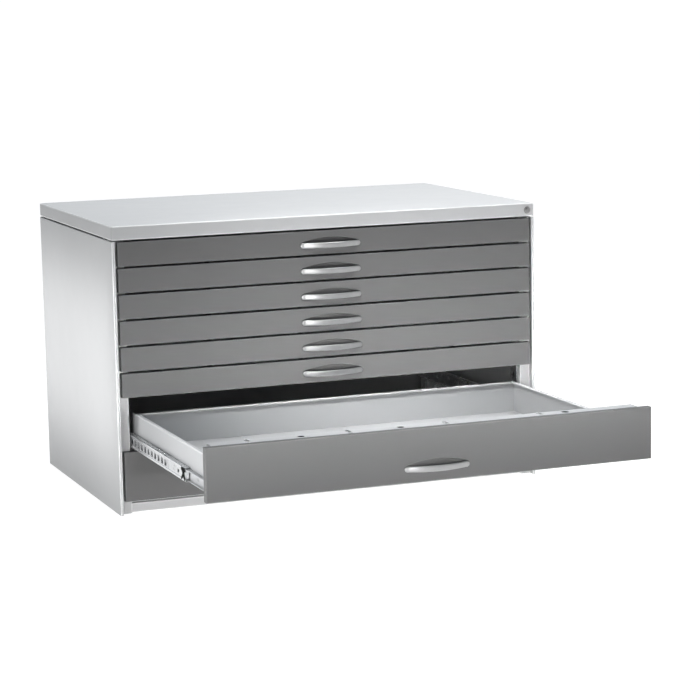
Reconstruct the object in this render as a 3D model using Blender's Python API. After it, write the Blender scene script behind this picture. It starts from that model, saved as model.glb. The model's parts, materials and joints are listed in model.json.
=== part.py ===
"""Flat file cabinet: a folded-sheet plan chest with eight drawers on telescopic slides.

Metres, +Z up. X runs along the front, the drawers pull out along -Y.
The origin is on the floor, at the middle of the whole part's footprint
with the seventh drawer pulled out.
"""

from math import acos, asin, cos, pi, radians, sin, tau

import bmesh
import bpy
from mathutils import Vector

# Overall sizes
CABINET_WIDTH = 1.200
CABINET_DEPTH = 0.765
TOP_HEIGHT = 0.038
BASE_HEIGHT = 0.034
DRAWER_PITCH = 0.0688
DRAWER_UNITS = (1, 1, 1, 1, 1, 1, 2, 2)
OPEN_DRAWER = 7

# Sheet and clearances
SHEET = 0.0012
SEAT_GAP = 0.0004
OVERRUN = 0.002
LAP = 0.0005

# Side panels
FRONT_RETURN = 0.008
RECESS = 0.0208
INNER_FLANGE = 0.037
FLANGE_RETURN = 0.018
REAR_FLANGE = 0.020

# Top plate
CORNER_RADIUS = 0.006
EDGE_RADIUS = 0.0025
TOP_LIP = 0.015
CORNER_STEPS = 4
EDGE_STEPS = 3

# Uprights that carry the slides
POST_FRONT = 0.042
POST_DEPTH = 0.040
POST_REAR_INSET = 0.035
RACK_FACE = 0.0375
FOOT_PLATE = 0.003

# Slides, from the rack towards the tray
SLIDE_ROOM = 0.065
SLIDE_HEIGHT = 0.042
RACEWAY = 0.003
RACE_GAP = 0.0005
WEB_GAP = 0.0016
MEMBER_WEB = 0.0012
MEMBER_REACH = 0.0115
MEMBER_STEP = 0.0018
SLIDE_LIFT = 0.0005
FIXED_MEMBER_START = 0.0398
MIDDLE_MEMBER_START = 0.0325
MIDDLE_TRAVEL_SHARE = 0.70

# Ball cage and stop boss on the outer face of a middle member
CAGE_START = 0.148
CAGE_LENGTH = 0.360
CAGE_HEIGHT = 0.022
CAGE_THICKNESS = 0.0008
CAGE_PITCH = 0.018
CAGE_RUNG = 0.006
CAGE_RAIL = 0.003
BOSS_PLACE = 0.097
BOSS_RADIUS = 0.008
BOSS_HOLE = 0.0036

# Levers at the front ends of the middle members, placed from the member's end and middle
LEVER_THICKNESS = 0.001
LEVER_LOBE = 0.005
LEVER_FRONT = 0.0065
LEVER_REAR = 0.033
LEVER_TOP = 0.0112
LEVER_FRONT_FOOT = 0.007
LEVER_REAR_FOOT = 0.0122
LEVER_FOOT_STEP = 0.004
LEVER_NECK = 0.014
LEVER_NECK_WIDTH = 0.015

# Drawer front panels
FRONT_THICKNESS = 0.020
FRONT_GAP = 0.0045
FRONT_END_GAP = 0.006
PAN_LIP = 0.012
PAN_END_LIP = 0.036

# Trays
TRAY_OVERLAP = 0.005
TRAY_LIFT = 0.006
LOW_WALL = 0.052
TALL_WALL = 0.092
WALL_FOLD = 0.012
FOLD_RETURN = 0.012
LIP_DEPTH = 0.045
LIP_DROP = 0.0025
LIP_RETURN = 0.008
LOUVRE_PITCH_SHARE = 0.443
LOUVRE_LENGTH = 0.018
LOUVRE_WIDTH = 0.005
LOUVRE_COUNT = 2
HOLE_PLACE_SHARES = (0.1786, 0.6401)
HOLE_LENGTH = 0.016
HOLE_WIDTH = 0.009
HOLE_STEPS = 4

# Handles and the finger recess behind them
HANDLE_LENGTH = 0.178
HANDLE_BOW = 0.022
HANDLE_HEIGHT = 0.0145
HANDLE_THICKNESS = 0.0048
HANDLE_STEPS = 14
HANDLE_SIDES = 8
HANDLE_LEAN_SHARE = 0.875
PAD_LENGTH = 0.010
LOW_HANDLE_RISE = 0.025
TALL_HANDLE_RISE = 0.034
RECESS_CHORD = 0.152
RECESS_RISE = 0.019
RECESS_DROP = 0.005
CUP_DEPTH = 0.014
CUP_STEPS = 14

# Lock
LOCK_INSET = 0.021
BARREL_RADIUS = 0.0085
BARREL_LENGTH = 0.022
BARREL_FLANGE = 0.0015
BARREL_RIM = 0.0012
PLUG_RADIUS = 0.0058
PLUG_CLEARANCE = 0.0004
KEYWAY_WIDTH = 0.0014
KEYWAY_HEIGHT = 0.0064
KEYWAY_DEPTH = 0.006
CAM_THICKNESS = 0.0025
CAM_ARM = 0.008
CAM_WIDTH = 0.008
PIN_RADIUS = 0.002
PIN_SLACK = 0.0006
LOCK_ANGLE = radians(90)
ROUND_STEPS = 20

# Lock bar and the hooks that it holds
BAR_THICKNESS = 0.002
BAR_WIDTH = 0.016
BAR_SETBACK = 0.030
BAR_SHIFT = 0.0045
BAR_END = 0.004
WINDOW_WIDTH = 0.006
HOOK_PLATE = 0.002
HOOK_RISE = 0.037
HOOK_LEG = 0.006
HOOK_DROP = 0.012
HOOK_REACH = 0.0395
HOOK_TIP = 0.004
HOOK_CLEARANCE = 0.0015
GUIDE_UNITS = (2, 6, 9)
GUIDE_WALL = 0.002
GUIDE_HEIGHT = 0.008

# Rails and floor
RAIL_LIFT = 0.002
RAIL_DEPTH = 0.018
PLINTH_SETBACK = 0.022
PAN_LEVEL = 0.030
PAN_FLANGE = 0.015
UPPER_RAIL_HEIGHT = 0.016
UPPER_RAIL_WIDTH = 0.024

# Derived places
CABINET_HEIGHT = BASE_HEIGHT + DRAWER_PITCH * sum(DRAWER_UNITS) + TOP_HEIGHT
HALF_WIDTH = CABINET_WIDTH / 2
SIDE_TOP = CABINET_HEIGHT - TOP_HEIGHT
HANDLE_OUT = HANDLE_BOW + SEAT_GAP
SLIDE_LENGTH = CABINET_DEPTH - SLIDE_ROOM
DRAWER_TRAVEL = SLIDE_LENGTH
TRAY_DEPTH = SLIDE_LENGTH + TRAY_OVERLAP
FRONT_Y = (DRAWER_TRAVEL + HANDLE_OUT - CABINET_DEPTH) / 2
BACK_Y = FRONT_Y + CABINET_DEPTH

FIXED_WEB = RACK_FACE - LAP
FIXED_WEB_INNER = RACK_FACE + MEMBER_WEB
MIDDLE_WEB = FIXED_WEB_INNER + WEB_GAP
MIDDLE_WEB_INNER = MIDDLE_WEB + MEMBER_WEB
MIDDLE_HEIGHT = SLIDE_HEIGHT - (RACEWAY + RACE_GAP) * 2
DRAWER_MEMBER_HEIGHT = MIDDLE_HEIGHT - (RACEWAY + RACE_GAP) * 2
DRAWER_MEMBER_START = MIDDLE_WEB_INNER + RACE_GAP * 2
TRAY_WALL = DRAWER_MEMBER_START + MEMBER_REACH
FIXED_REACH = FIXED_WEB_INNER + MEMBER_REACH
MIDDLE_REACH = MIDDLE_WEB_INNER + MEMBER_REACH
TRAY_START = FRONT_THICKNESS + SEAT_GAP
TRAY_END = TRAY_START + TRAY_DEPTH
FRONT_HALF = HALF_WIDTH - FRONT_RETURN - FRONT_END_GAP

LOCK_X = HALF_WIDTH - LOCK_INSET
LOCK_Z = CABINET_HEIGHT - TOP_HEIGHT / 2
BAR_X = LOCK_X - BAR_SHIFT
POST_REAR = CABINET_DEPTH - POST_REAR_INSET

# Colours and finishes: red, green, blue, roughness, metallic
FINISHES = {
    "body_paint": (0.70, 0.71, 0.71, 0.45, 0.0),
    "front_paint": (0.20, 0.20, 0.20, 0.45, 0.0),
    "tray_paint": (0.62, 0.64, 0.66, 0.45, 0.0),
    "handle_metal": (0.62, 0.62, 0.61, 0.35, 0.9),
    "zinc": (0.66, 0.67, 0.69, 0.30, 0.9),
    "black_plastic": (0.02, 0.02, 0.02, 0.50, 0.0),
    "nickel": (0.58, 0.58, 0.56, 0.28, 1.0),
}


def clear_scene():
    for item in list(bpy.data.objects):
        bpy.data.objects.remove(item, do_unlink=True)


def finish(name):
    """The material of this name, made once from its row of FINISHES."""
    found = bpy.data.materials.get(name)
    if found:
        return found
    red, green, blue, rough, metal = FINISHES[name]
    made = bpy.data.materials.new(name)
    made.use_nodes = True
    shader = made.node_tree.nodes["Principled BSDF"]
    shader.inputs["Base Color"].default_value = (red, green, blue, 1.0)
    shader.inputs["Roughness"].default_value = rough
    shader.inputs["Metallic"].default_value = metal
    return made


def place(name, mesh_builder, material):
    """A scene object that takes the built mesh, with its normals facing out."""
    bmesh.ops.recalc_face_normals(mesh_builder, faces=mesh_builder.faces)
    mesh = bpy.data.meshes.new(name)
    mesh_builder.to_mesh(mesh)
    mesh_builder.free()
    item = bpy.data.objects.new(name, mesh)
    bpy.context.scene.collection.objects.link(item)
    if material:
        mesh.materials.append(finish(material))
    return item


def lofted(name, rings, material=None):
    """A closed body through rings of equally many points, capped at both ends."""
    builder = bmesh.new()
    loops = [[builder.verts.new(point) for point in ring] for ring in rings]
    count = len(rings[0])
    for lower, upper in zip(loops, loops[1:]):
        for i in range(count):
            j = (i + 1) % count
            builder.faces.new((lower[i], lower[j], upper[j], upper[i]))
    builder.faces.new(loops[0])
    builder.faces.new(loops[-1])
    return place(name, builder, material)


def box(name, low, high, material=None):
    x0, y0, z0 = low
    x1, y1, z1 = high
    flat = ((x0, y0), (x1, y0), (x1, y1), (x0, y1))
    rings = [[(x, y, z) for x, y in flat] for z in (z0, z1)]
    return lofted(name, rings, material)


def along_x(name, outline, start, end, material=None):
    """The (y, z) outline carried from x = start to x = end."""
    rings = [[(x, y, z) for y, z in outline] for x in (start, end)]
    return lofted(name, rings, material)


def along_y(name, outline, start, end, material=None):
    """The (x, z) outline carried from y = start to y = end."""
    rings = [[(x, y, z) for x, z in outline] for y in (start, end)]
    return lofted(name, rings, material)


def along_z(name, outline, start, end, material=None):
    """The (x, y) outline carried from z = start to z = end."""
    rings = [[(x, y, z) for x, y in outline] for z in (start, end)]
    return lofted(name, rings, material)


def folded(path, thickness=SHEET):
    """The closed outline of a sheet bent along a path, with its thickness on the left."""
    points = [Vector(point) for point in path]
    normals = []
    for first, second in zip(points, points[1:]):
        run = (second - first).normalized()
        normals.append(Vector((-run.y, run.x)))
    inner = []
    for i, point in enumerate(points):
        before = normals[max(i - 1, 0)]
        after = normals[min(i, len(normals) - 1)]
        mitre = (before + after).normalized()
        inner.append(point + mitre * (thickness / mitre.dot(after)))
    return [tuple(point) for point in points + inner[::-1]]


def circle(radius, steps=ROUND_STEPS):
    turns = [tau * i / steps for i in range(steps)]
    return [(radius * cos(turn), radius * sin(turn)) for turn in turns]


def moved(outline, right, up):
    return [(a + right, b + up) for a, b in outline]


def combine(item, others, operation):
    """Boolean each of the others into the item, and keep them as hidden helpers."""
    for other in others:
        change = item.modifiers.new(f"{operation.lower()} {other.name}", "BOOLEAN")
        change.operation = operation
        change.object = other
        other.hide_render = True
        other.display_type = "WIRE"
        other.parent = item
    return item


def join(item, *others):
    return combine(item, others, "UNION")


def cut(item, *others):
    return combine(item, others, "DIFFERENCE")


def across(side, inset):
    """The x of a place that lies an inset inwards from the outer face of one side."""
    return side * (HALF_WIDTH - inset)


def back(setback):
    """The y of a place that lies a setback behind the cabinet's front plane."""
    return FRONT_Y + setback


def drawer_bottoms():
    """The bottom of each drawer's bay, from the top drawer down."""
    level = SIDE_TOP
    found = []
    for units in DRAWER_UNITS:
        level -= units * DRAWER_PITCH
        found.append(level)
    return found


# Cabinet shell


def rounded_rectangle(half_width, y_low, y_high, radius):
    """Four corner arcs of one radius, anticlockwise from the right front corner."""
    centres = (
        (half_width - radius, y_low + radius, -pi / 2),
        (half_width - radius, y_high - radius, 0.0),
        (radius - half_width, y_high - radius, pi / 2),
        (radius - half_width, y_low + radius, pi),
    )
    points = []
    for x, y, start in centres:
        for i in range(CORNER_STEPS + 1):
            turn = start + pi / 2 * i / CORNER_STEPS
            points.append((x + radius * cos(turn), y + radius * sin(turn)))
    return points


def make_top_plate():
    levels = [(0.0, SIDE_TOP)]
    for i in range(EDGE_STEPS + 1):
        turn = pi / 2 * i / EDGE_STEPS
        inset = EDGE_RADIUS * (1 - cos(turn))
        levels.append((inset, CABINET_HEIGHT - EDGE_RADIUS + EDGE_RADIUS * sin(turn)))
    rings = []
    for inset, z in levels:
        outline = rounded_rectangle(
            HALF_WIDTH - inset,
            FRONT_Y + inset,
            BACK_Y - inset,
            CORNER_RADIUS - inset,
        )
        rings.append([(x, y, z) for x, y in outline])
    plate = lofted("top_plate", rings, "body_paint")
    hollow = along_z(
        "top_hollow",
        rounded_rectangle(
            HALF_WIDTH - SHEET,
            FRONT_Y + SHEET,
            BACK_Y - SHEET,
            CORNER_RADIUS - SHEET,
        ),
        SIDE_TOP + SHEET,
        CABINET_HEIGHT - SHEET,
    )
    mouth = box(
        "top_mouth",
        (SHEET - HALF_WIDTH, back(TOP_LIP), SIDE_TOP - OVERRUN),
        (HALF_WIDTH - SHEET, BACK_Y - TOP_LIP, SIDE_TOP + SHEET + OVERRUN),
    )
    lock_hole = along_y(
        "lock_hole",
        moved(circle(BARREL_RADIUS + SEAT_GAP), LOCK_X, LOCK_Z),
        FRONT_Y - OVERRUN,
        back(SHEET + OVERRUN),
    )
    return cut(plate, hollow, mouth, lock_hole)


def side_outline(side):
    """The side panel's bends in plan, from the rear flange to the inner flange's return."""
    bends = (
        (REAR_FLANGE, CABINET_DEPTH),
        (0.0, CABINET_DEPTH),
        (0.0, 0.0),
        (FRONT_RETURN, 0.0),
        (FRONT_RETURN, RECESS),
        (INNER_FLANGE, RECESS),
        (INNER_FLANGE, RECESS + FLANGE_RETURN),
    )
    return [(across(side, inset), back(setback)) for inset, setback in folded(bends)]


def make_side_panel(name, side):
    return along_z(name, side_outline(side), 0.0, SIDE_TOP - SEAT_GAP * 2, "body_paint")


def bar_guide(number, level):
    """A staple on the back of the inner flange, which the lock bar slides through."""
    reach = BAR_WIDTH / 2 + SEAT_GAP
    rear = BAR_SETBACK + BAR_THICKNESS + SEAT_GAP
    front = RECESS + SHEET
    path = (
        (BAR_X - reach, back(front - LAP)),
        (BAR_X - reach, back(rear)),
        (BAR_X + reach, back(rear)),
        (BAR_X + reach, back(front - LAP)),
    )
    return along_z(
        f"bar_guide_{number}",
        folded(path, GUIDE_WALL),
        level - GUIDE_HEIGHT / 2,
        level + GUIDE_HEIGHT / 2,
    )


def make_lock_side_panel():
    """The right panel, with the staples of the lock bar and a slot for each drawer's hook."""
    panel = make_side_panel("right_side_panel", 1)
    for number, units in enumerate(GUIDE_UNITS):
        join(panel, bar_guide(number, BASE_HEIGHT + units * DRAWER_PITCH))
    for number, bottom in enumerate(drawer_bottoms(), 1):
        slot = box(
            f"hook_slot_{number}",
            (BAR_X - WINDOW_WIDTH / 2, back(RECESS - OVERRUN), window_low(bottom)),
            (BAR_X + WINDOW_WIDTH / 2, back(RECESS + SHEET + OVERRUN), window_high(bottom)),
        )
        cut(panel, slot)
    return panel


def make_back_panel():
    rear = CABINET_DEPTH - SHEET - SEAT_GAP
    return box(
        "back_panel",
        (across(-1, SHEET + SEAT_GAP), back(rear - SHEET), RAIL_LIFT),
        (across(1, SHEET + SEAT_GAP), back(rear), SIDE_TOP - SEAT_GAP * 2),
        "body_paint",
    )


def rail_outline(front, depth, low, high):
    """A channel that opens backwards."""
    path = (
        (back(front + depth), high),
        (back(front), high),
        (back(front), low),
        (back(front + depth), low),
    )
    return folded(path)


def make_plinth_rails():
    inset = INNER_FLANGE + SEAT_GAP
    front = rail_outline(PLINTH_SETBACK, RAIL_DEPTH, RAIL_LIFT, PAN_LEVEL)
    along_x("front_plinth_rail", front, across(-1, inset), across(1, inset), "body_paint")
    rear_face = CABINET_DEPTH - (SHEET + SEAT_GAP) * 2
    inset = RACK_FACE + SEAT_GAP
    path = (
        (back(rear_face - RAIL_DEPTH), RAIL_LIFT),
        (back(rear_face), RAIL_LIFT),
        (back(rear_face), PAN_LEVEL),
        (back(rear_face - RAIL_DEPTH), PAN_LEVEL),
    )
    along_x("rear_plinth_rail", folded(path), across(-1, inset), across(1, inset), "body_paint")


def make_base_pan():
    """The floor sheet, with a flange folded down against the uprights on each side."""
    inset = RACK_FACE + SEAT_GAP
    path = (
        (across(1, inset), PAN_LEVEL - PAN_FLANGE),
        (across(1, inset), PAN_LEVEL),
        (across(-1, inset), PAN_LEVEL),
        (across(-1, inset), PAN_LEVEL - PAN_FLANGE),
    )
    front = PLINTH_SETBACK + RAIL_DEPTH + SEAT_GAP
    rear = CABINET_DEPTH - (SHEET + SEAT_GAP) * 2 - RAIL_DEPTH - SEAT_GAP
    along_y("base_pan", folded(path), back(front), back(rear), "body_paint")


def make_upper_rails():
    """Two channels between the uprights, close under the top plate."""
    inset = RACK_FACE + SEAT_GAP
    high = CABINET_HEIGHT - SHEET - SEAT_GAP
    spare = (POST_DEPTH - UPPER_RAIL_WIDTH) / 2
    starts = {
        "upper_front_rail": POST_FRONT + spare,
        "upper_rear_rail": POST_REAR - POST_DEPTH + spare,
    }
    for name, start in starts.items():
        path = (
            (back(start + UPPER_RAIL_WIDTH), high - UPPER_RAIL_HEIGHT),
            (back(start + UPPER_RAIL_WIDTH), high),
            (back(start), high),
            (back(start), high - UPPER_RAIL_HEIGHT),
        )
        along_x(name, folded(path), across(-1, inset), across(1, inset), "body_paint")


# Slides


def slide_centre(bottom):
    return bottom + SLIDE_LIFT + SLIDE_HEIGHT / 2


def member_outline(side, web, reach, height, centre):
    """A channel's (x, z) section: a web against the rack and two raceways towards the tray."""
    low = centre - height / 2
    high = centre + height / 2
    return (
        (across(side, web), low),
        (across(side, reach), low),
        (across(side, reach), low + RACEWAY),
        (across(side, web + MEMBER_WEB), low + RACEWAY),
        (across(side, web + MEMBER_WEB), high - RACEWAY),
        (across(side, reach), high - RACEWAY),
        (across(side, reach), high),
        (across(side, web), high),
    )


def fixed_member(label, side, bottom):
    outline = member_outline(
        side, FIXED_WEB, FIXED_REACH, SLIDE_HEIGHT, slide_centre(bottom)
    )
    start = back(FIXED_MEMBER_START)
    return along_y(f"fixed_member_{label}", outline, start, start + SLIDE_LENGTH)


def upright(label, side, start):
    """A channel open to the side panel, with a foot plate, that reaches up to the top plate."""
    outer = SHEET + SEAT_GAP
    path = (
        (outer, start),
        (RACK_FACE, start),
        (RACK_FACE, start + POST_DEPTH),
        (outer, start + POST_DEPTH),
    )
    plan = [(across(side, inset), back(setback)) for inset, setback in folded(path)]
    top = CABINET_HEIGHT - SHEET - SEAT_GAP
    post = along_z(f"upright_{label}", plan, 0.0, top)
    near = back(start + SHEET - LAP)
    far = back(start + POST_DEPTH - SHEET + LAP)
    sides = sorted((across(side, outer + LAP), across(side, RACK_FACE - SHEET + LAP)))
    foot = box(f"foot_{label}", (sides[0], near, 0.0), (sides[1], far, FOOT_PLATE))
    return post, foot


def make_slide_rack(name, side):
    front_post, front_foot = upright(f"{name}_front", side, POST_FRONT)
    rear_post, rear_foot = upright(f"{name}_rear", side, POST_REAR - POST_DEPTH)
    members = [
        fixed_member(f"{name}_{number}", side, bottom)
        for number, bottom in enumerate(drawer_bottoms(), 1)
    ]
    front_post.name = name
    front_post.data.materials.append(finish("zinc"))
    return join(front_post, front_foot, members[0], rear_post, rear_foot, *members[1:])


def lever_outline(end, centre):
    """A bar along the top of the member's end, with a neck down to two spread feet."""
    feet = {
        "front": (LEVER_FOOT_STEP - LEVER_FRONT, -LEVER_FRONT_FOOT),
        "rear": (LEVER_REAR - LEVER_FOOT_STEP, -LEVER_REAR_FOOT),
    }
    half_neck = LEVER_NECK_WIDTH / 2
    crotch = [(LEVER_NECK, LEVER_LOBE - LEVER_REAR_FOOT)]
    parts = (
        arc(-LEVER_FRONT, LEVER_TOP, pi / 2, pi),
        [(LEVER_NECK - half_neck, 0.0)],
        arc(*feet["front"], pi / 2, pi),
        crotch,
        arc(*feet["rear"], pi, pi),
        [(LEVER_NECK + half_neck, 0.0)],
        arc(LEVER_REAR, LEVER_TOP, -pi / 2, pi),
    )
    return [(end + along, centre + rise) for part in parts for along, rise in part]


def arc(along, rise, start, sweep):
    """Points on a lobe of the lever, from one angle on through a sweep."""
    turns = [start + sweep * i / CORNER_STEPS for i in range(CORNER_STEPS + 1)]
    return [(along + LEVER_LOBE * cos(turn), rise + LEVER_LOBE * sin(turn)) for turn in turns]


def outer_layer(side, thickness):
    """The two x places of a layer on the outer face of a middle member's web."""
    return sorted((across(side, MIDDLE_WEB - thickness), across(side, MIDDLE_WEB + LAP)))


def add_cage(member, label, side, start, centre):
    """The ladder-shaped ball cage that shows on the member, and the boss of its stop."""
    low, high = outer_layer(side, CAGE_THICKNESS)
    half = CAGE_HEIGHT / 2
    first = start + CAGE_START
    plate = box(
        f"cage_{label}",
        (low, first, centre - half),
        (high, first + CAGE_LENGTH, centre + half),
    )
    count = int((CAGE_LENGTH - CAGE_RUNG) / CAGE_PITCH)
    face = across(side, MIDDLE_WEB)
    beyond = across(side, MIDDLE_WEB - CAGE_THICKNESS - OVERRUN)
    half -= CAGE_RAIL
    for number in range(count):
        near = first + CAGE_RUNG + number * CAGE_PITCH
        window = box(
            f"cage_window_{label}_{number}",
            (min(face, beyond), near, centre - half),
            (max(face, beyond), near + CAGE_PITCH - CAGE_RUNG, centre + half),
        )
        cut(plate, window)
    middle = start + BOSS_PLACE
    boss = along_x(f"boss_{label}", moved(circle(BOSS_RADIUS), middle, centre), low, high)
    join(member, plate, boss)
    hole = along_x(
        f"boss_hole_{label}",
        moved(circle(BOSS_HOLE), middle, centre),
        low - OVERRUN,
        high + OVERRUN,
    )
    cut(member, hole)


def make_middle_slides(number, bottom, shift):
    """The pair of middle members of one drawer, with a black lever at each front end."""
    start = back(MIDDLE_MEMBER_START) - shift
    centre = slide_centre(bottom)
    apart = number == OPEN_DRAWER
    for label, side in (("left", -1), ("right", 1)):
        outline = member_outline(side, MIDDLE_WEB, MIDDLE_REACH, MIDDLE_HEIGHT, centre)
        name = f"middle_slide_{label}_{number}"
        member = along_y(name, outline, start, start + SLIDE_LENGTH, "zinc")
        seat = SEAT_GAP if apart else -LAP
        places = sorted(
            (
                across(side, MIDDLE_WEB - seat - LEVER_THICKNESS),
                across(side, MIDDLE_WEB - seat),
            )
        )
        lever = along_x(
            f"lever_{label}_{number}",
            lever_outline(start, centre),
            *places,
            "black_plastic",
        )
        if apart:
            add_cage(member, f"{label}_{number}", side, start, centre)
        else:
            join(member, lever)


# Drawers


def bay_height(units):
    return units * DRAWER_PITCH


def front_low(bottom):
    return bottom + FRONT_GAP / 2


def front_high(bottom, units):
    return bottom + bay_height(units) - FRONT_GAP / 2


def handle_level(bottom, units):
    rise = LOW_HANDLE_RISE if units == 1 else TALL_HANDLE_RISE
    return front_low(bottom) + rise


def crescent(level, grow):
    """A circular segment above a short drop, in (x, z), grown outwards by a wall."""
    half = RECESS_CHORD / 2
    radius = (half * half + RECESS_RISE * RECESS_RISE) / (2 * RECESS_RISE)
    centre = RECESS_RISE - radius
    spread = acos(-centre / radius)
    points = [(-half - grow, level - RECESS_DROP - grow)]
    for i in range(CUP_STEPS + 1):
        turn = -spread + 2 * spread * i / CUP_STEPS
        x = (radius + grow) * sin(turn)
        z = centre + (radius + grow) * cos(turn)
        points.append((x, level + z))
    points.append((half + grow, level - RECESS_DROP - grow))
    return points


def window_low(bottom):
    return bottom + HOOK_RISE - HOOK_DROP - HOOK_CLEARANCE


def window_high(bottom):
    return bottom + HOOK_RISE + HOOK_LEG + HOOK_CLEARANCE


def lock_hook(number, bottom, shift):
    """A flat hook behind the front's right end: a leg that runs back, with its tip down."""
    low = bottom + HOOK_RISE
    high = low + HOOK_LEG
    start = back(FRONT_THICKNESS - LAP) - shift
    end = back(HOOK_REACH) - shift
    outline = (
        (start, low),
        (end - HOOK_TIP, low),
        (end - HOOK_TIP, low - HOOK_DROP),
        (end, low - HOOK_DROP),
        (end, high),
        (start, high),
    )
    half = HOOK_PLATE / 2
    return along_x(f"lock_hook_{number}", outline, BAR_X - half, BAR_X + half)


def make_front(number, bottom, units, shift):
    """A folded pan with a finger recess pressed into its face."""
    low = front_low(bottom)
    high = front_high(bottom, units)
    face = FRONT_Y - shift
    rear = face + FRONT_THICKNESS
    pan = box(
        f"front_panel_{number}",
        (-FRONT_HALF, face, low),
        (FRONT_HALF, rear, high),
        "front_paint",
    )
    hollow = box(
        f"front_hollow_{number}",
        (SHEET - FRONT_HALF, face + SHEET, low + SHEET),
        (FRONT_HALF - SHEET, rear - SHEET, high - SHEET),
    )
    mouth = box(
        f"front_mouth_{number}",
        (PAN_END_LIP - FRONT_HALF, rear - SHEET - LAP, low + PAN_LIP),
        (FRONT_HALF - PAN_END_LIP, rear + OVERRUN, high - PAN_LIP),
    )
    level = handle_level(bottom, units)
    cup = along_y(
        f"recess_cup_{number}",
        crescent(level, SHEET),
        face + SHEET / 2,
        face + CUP_DEPTH + SHEET,
    )
    pocket = along_y(
        f"recess_pocket_{number}",
        crescent(level, 0.0),
        face - OVERRUN,
        face + CUP_DEPTH,
    )
    cut(pan, hollow, mouth)
    join(pan, cup)
    cut(pan, pocket)
    join(pan, lock_hook(number, bottom, shift))
    return pan


def make_handle(number, bottom, units, shift):
    """A cast bow: an oval section carried along an arc, with a short flat pad at each end."""
    level = handle_level(bottom, units)
    half = HANDLE_LENGTH / 2 - PAD_LENGTH
    bow = HANDLE_BOW - HANDLE_THICKNESS
    radius = (half * half + bow * bow) / (2 * bow)
    spread = asin(half / radius)
    face = FRONT_Y - shift - SEAT_GAP
    stations = [(-HANDLE_LENGTH / 2, 0.0, 0.0)]
    for i in range(HANDLE_STEPS + 1):
        turn = -spread + 2 * spread * i / HANDLE_STEPS
        out = radius * cos(turn) - (radius - bow)
        stations.append((radius * sin(turn), out, turn * HANDLE_LEAN_SHARE))
    stations.append((HANDLE_LENGTH / 2, 0.0, 0.0))
    rings = []
    for x, out, lean in stations:
        rings.append([])
        for i in range(HANDLE_SIDES):
            turn = tau * (i + 0.5) / HANDLE_SIDES
            thick = HANDLE_THICKNESS / 2 * (1 + cos(turn) / cos(pi / HANDLE_SIDES))
            tall = HANDLE_HEIGHT / 2 * sin(turn) / cos(pi / HANDLE_SIDES)
            rings[-1].append(
                (x + thick * sin(lean), face - out - thick * cos(lean), level + tall)
            )
    return lofted(f"handle_{number}", rings, "handle_metal")


def lip_cutters(number, start, top):
    """Slanted louvre slots and rounded holes in the tray's front lip."""
    made = []
    middle = start + LIP_DEPTH / 2
    half_tray = HALF_WIDTH - TRAY_WALL
    for place_number in range(-LOUVRE_COUNT, LOUVRE_COUNT + 1):
        x = place_number * LOUVRE_PITCH_SHARE * half_tray
        lean = LOUVRE_LENGTH / 2 * sin(pi / 4)
        wide = LOUVRE_WIDTH / 2 / sin(pi / 4)
        outline = (
            (x - lean - wide, middle + lean),
            (x + lean - wide, middle - lean),
            (x + lean + wide, middle - lean),
            (x - lean + wide, middle + lean),
        )
        name = f"louvre_{number}_{place_number + LOUVRE_COUNT}"
        made.append(along_z(name, outline, top - SHEET - OVERRUN, top + OVERRUN))
    for side in (-1, 1):
        for index, share in enumerate(HOLE_PLACE_SHARES):
            place = side * share * half_tray
            outline = []
            radius = HOLE_WIDTH / 2
            straight = HOLE_LENGTH / 2 - radius
            for end in (1, -1):
                for i in range(HOLE_STEPS + 1):
                    turn = pi * (i / HOLE_STEPS - 1 / 2) + (0 if end > 0 else pi)
                    x = place + end * straight + radius * cos(turn)
                    outline.append((x, middle + radius * sin(turn)))
            name = f"lip_hole_{number}_{index}_{side + 1}"
            made.append(along_z(name, outline, top - SHEET - OVERRUN, top + OVERRUN))
    return made


def make_tray(number, bottom, units, shift):
    """A folded tray whose walls end in an inward box fold, with its two slide members."""
    floor = bottom + TRAY_LIFT
    wall = bottom + (LOW_WALL if units == 1 else TALL_WALL)
    start = back(TRAY_START) - shift
    end = back(TRAY_END) - shift
    inner = TRAY_WALL + WALL_FOLD
    section = (
        (across(-1, inner), wall - FOLD_RETURN),
        (across(-1, inner), wall),
        (across(-1, TRAY_WALL), wall),
        (across(-1, TRAY_WALL), floor),
        (across(1, TRAY_WALL), floor),
        (across(1, TRAY_WALL), wall),
        (across(1, inner), wall),
        (across(1, inner), wall - FOLD_RETURN),
    )
    tray = along_y(f"tray_{number}", folded(section), start + LAP, end - LAP, "tray_paint")
    lip_top = front_high(bottom, units) - LIP_DROP + FRONT_GAP / 2
    front_path = (
        (start, floor + LAP),
        (start, lip_top),
        (start + LIP_DEPTH, lip_top),
        (start + LIP_DEPTH, lip_top - LIP_RETURN),
    )
    rear_path = (
        (end - WALL_FOLD, wall - FOLD_RETURN + LAP),
        (end - WALL_FOLD, wall - LAP),
        (end, wall - LAP),
        (end, floor + LAP),
    )
    width = TRAY_WALL + SHEET / 2
    front_wall = along_x(
        f"tray_front_{number}",
        folded([(y, z) for y, z in front_path], -SHEET),
        across(-1, width),
        across(1, width),
    )
    rear_wall = along_x(
        f"tray_rear_{number}",
        folded([(y, z) for y, z in rear_path], -SHEET),
        across(-1, width),
        across(1, width),
    )
    join(tray, front_wall, rear_wall)
    cut(tray, *lip_cutters(number, start, lip_top))
    for label, side in (("left", -1), ("right", 1)):
        join(tray, drawer_member(f"{label}_{number}", side, bottom, shift))
    return tray


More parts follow.
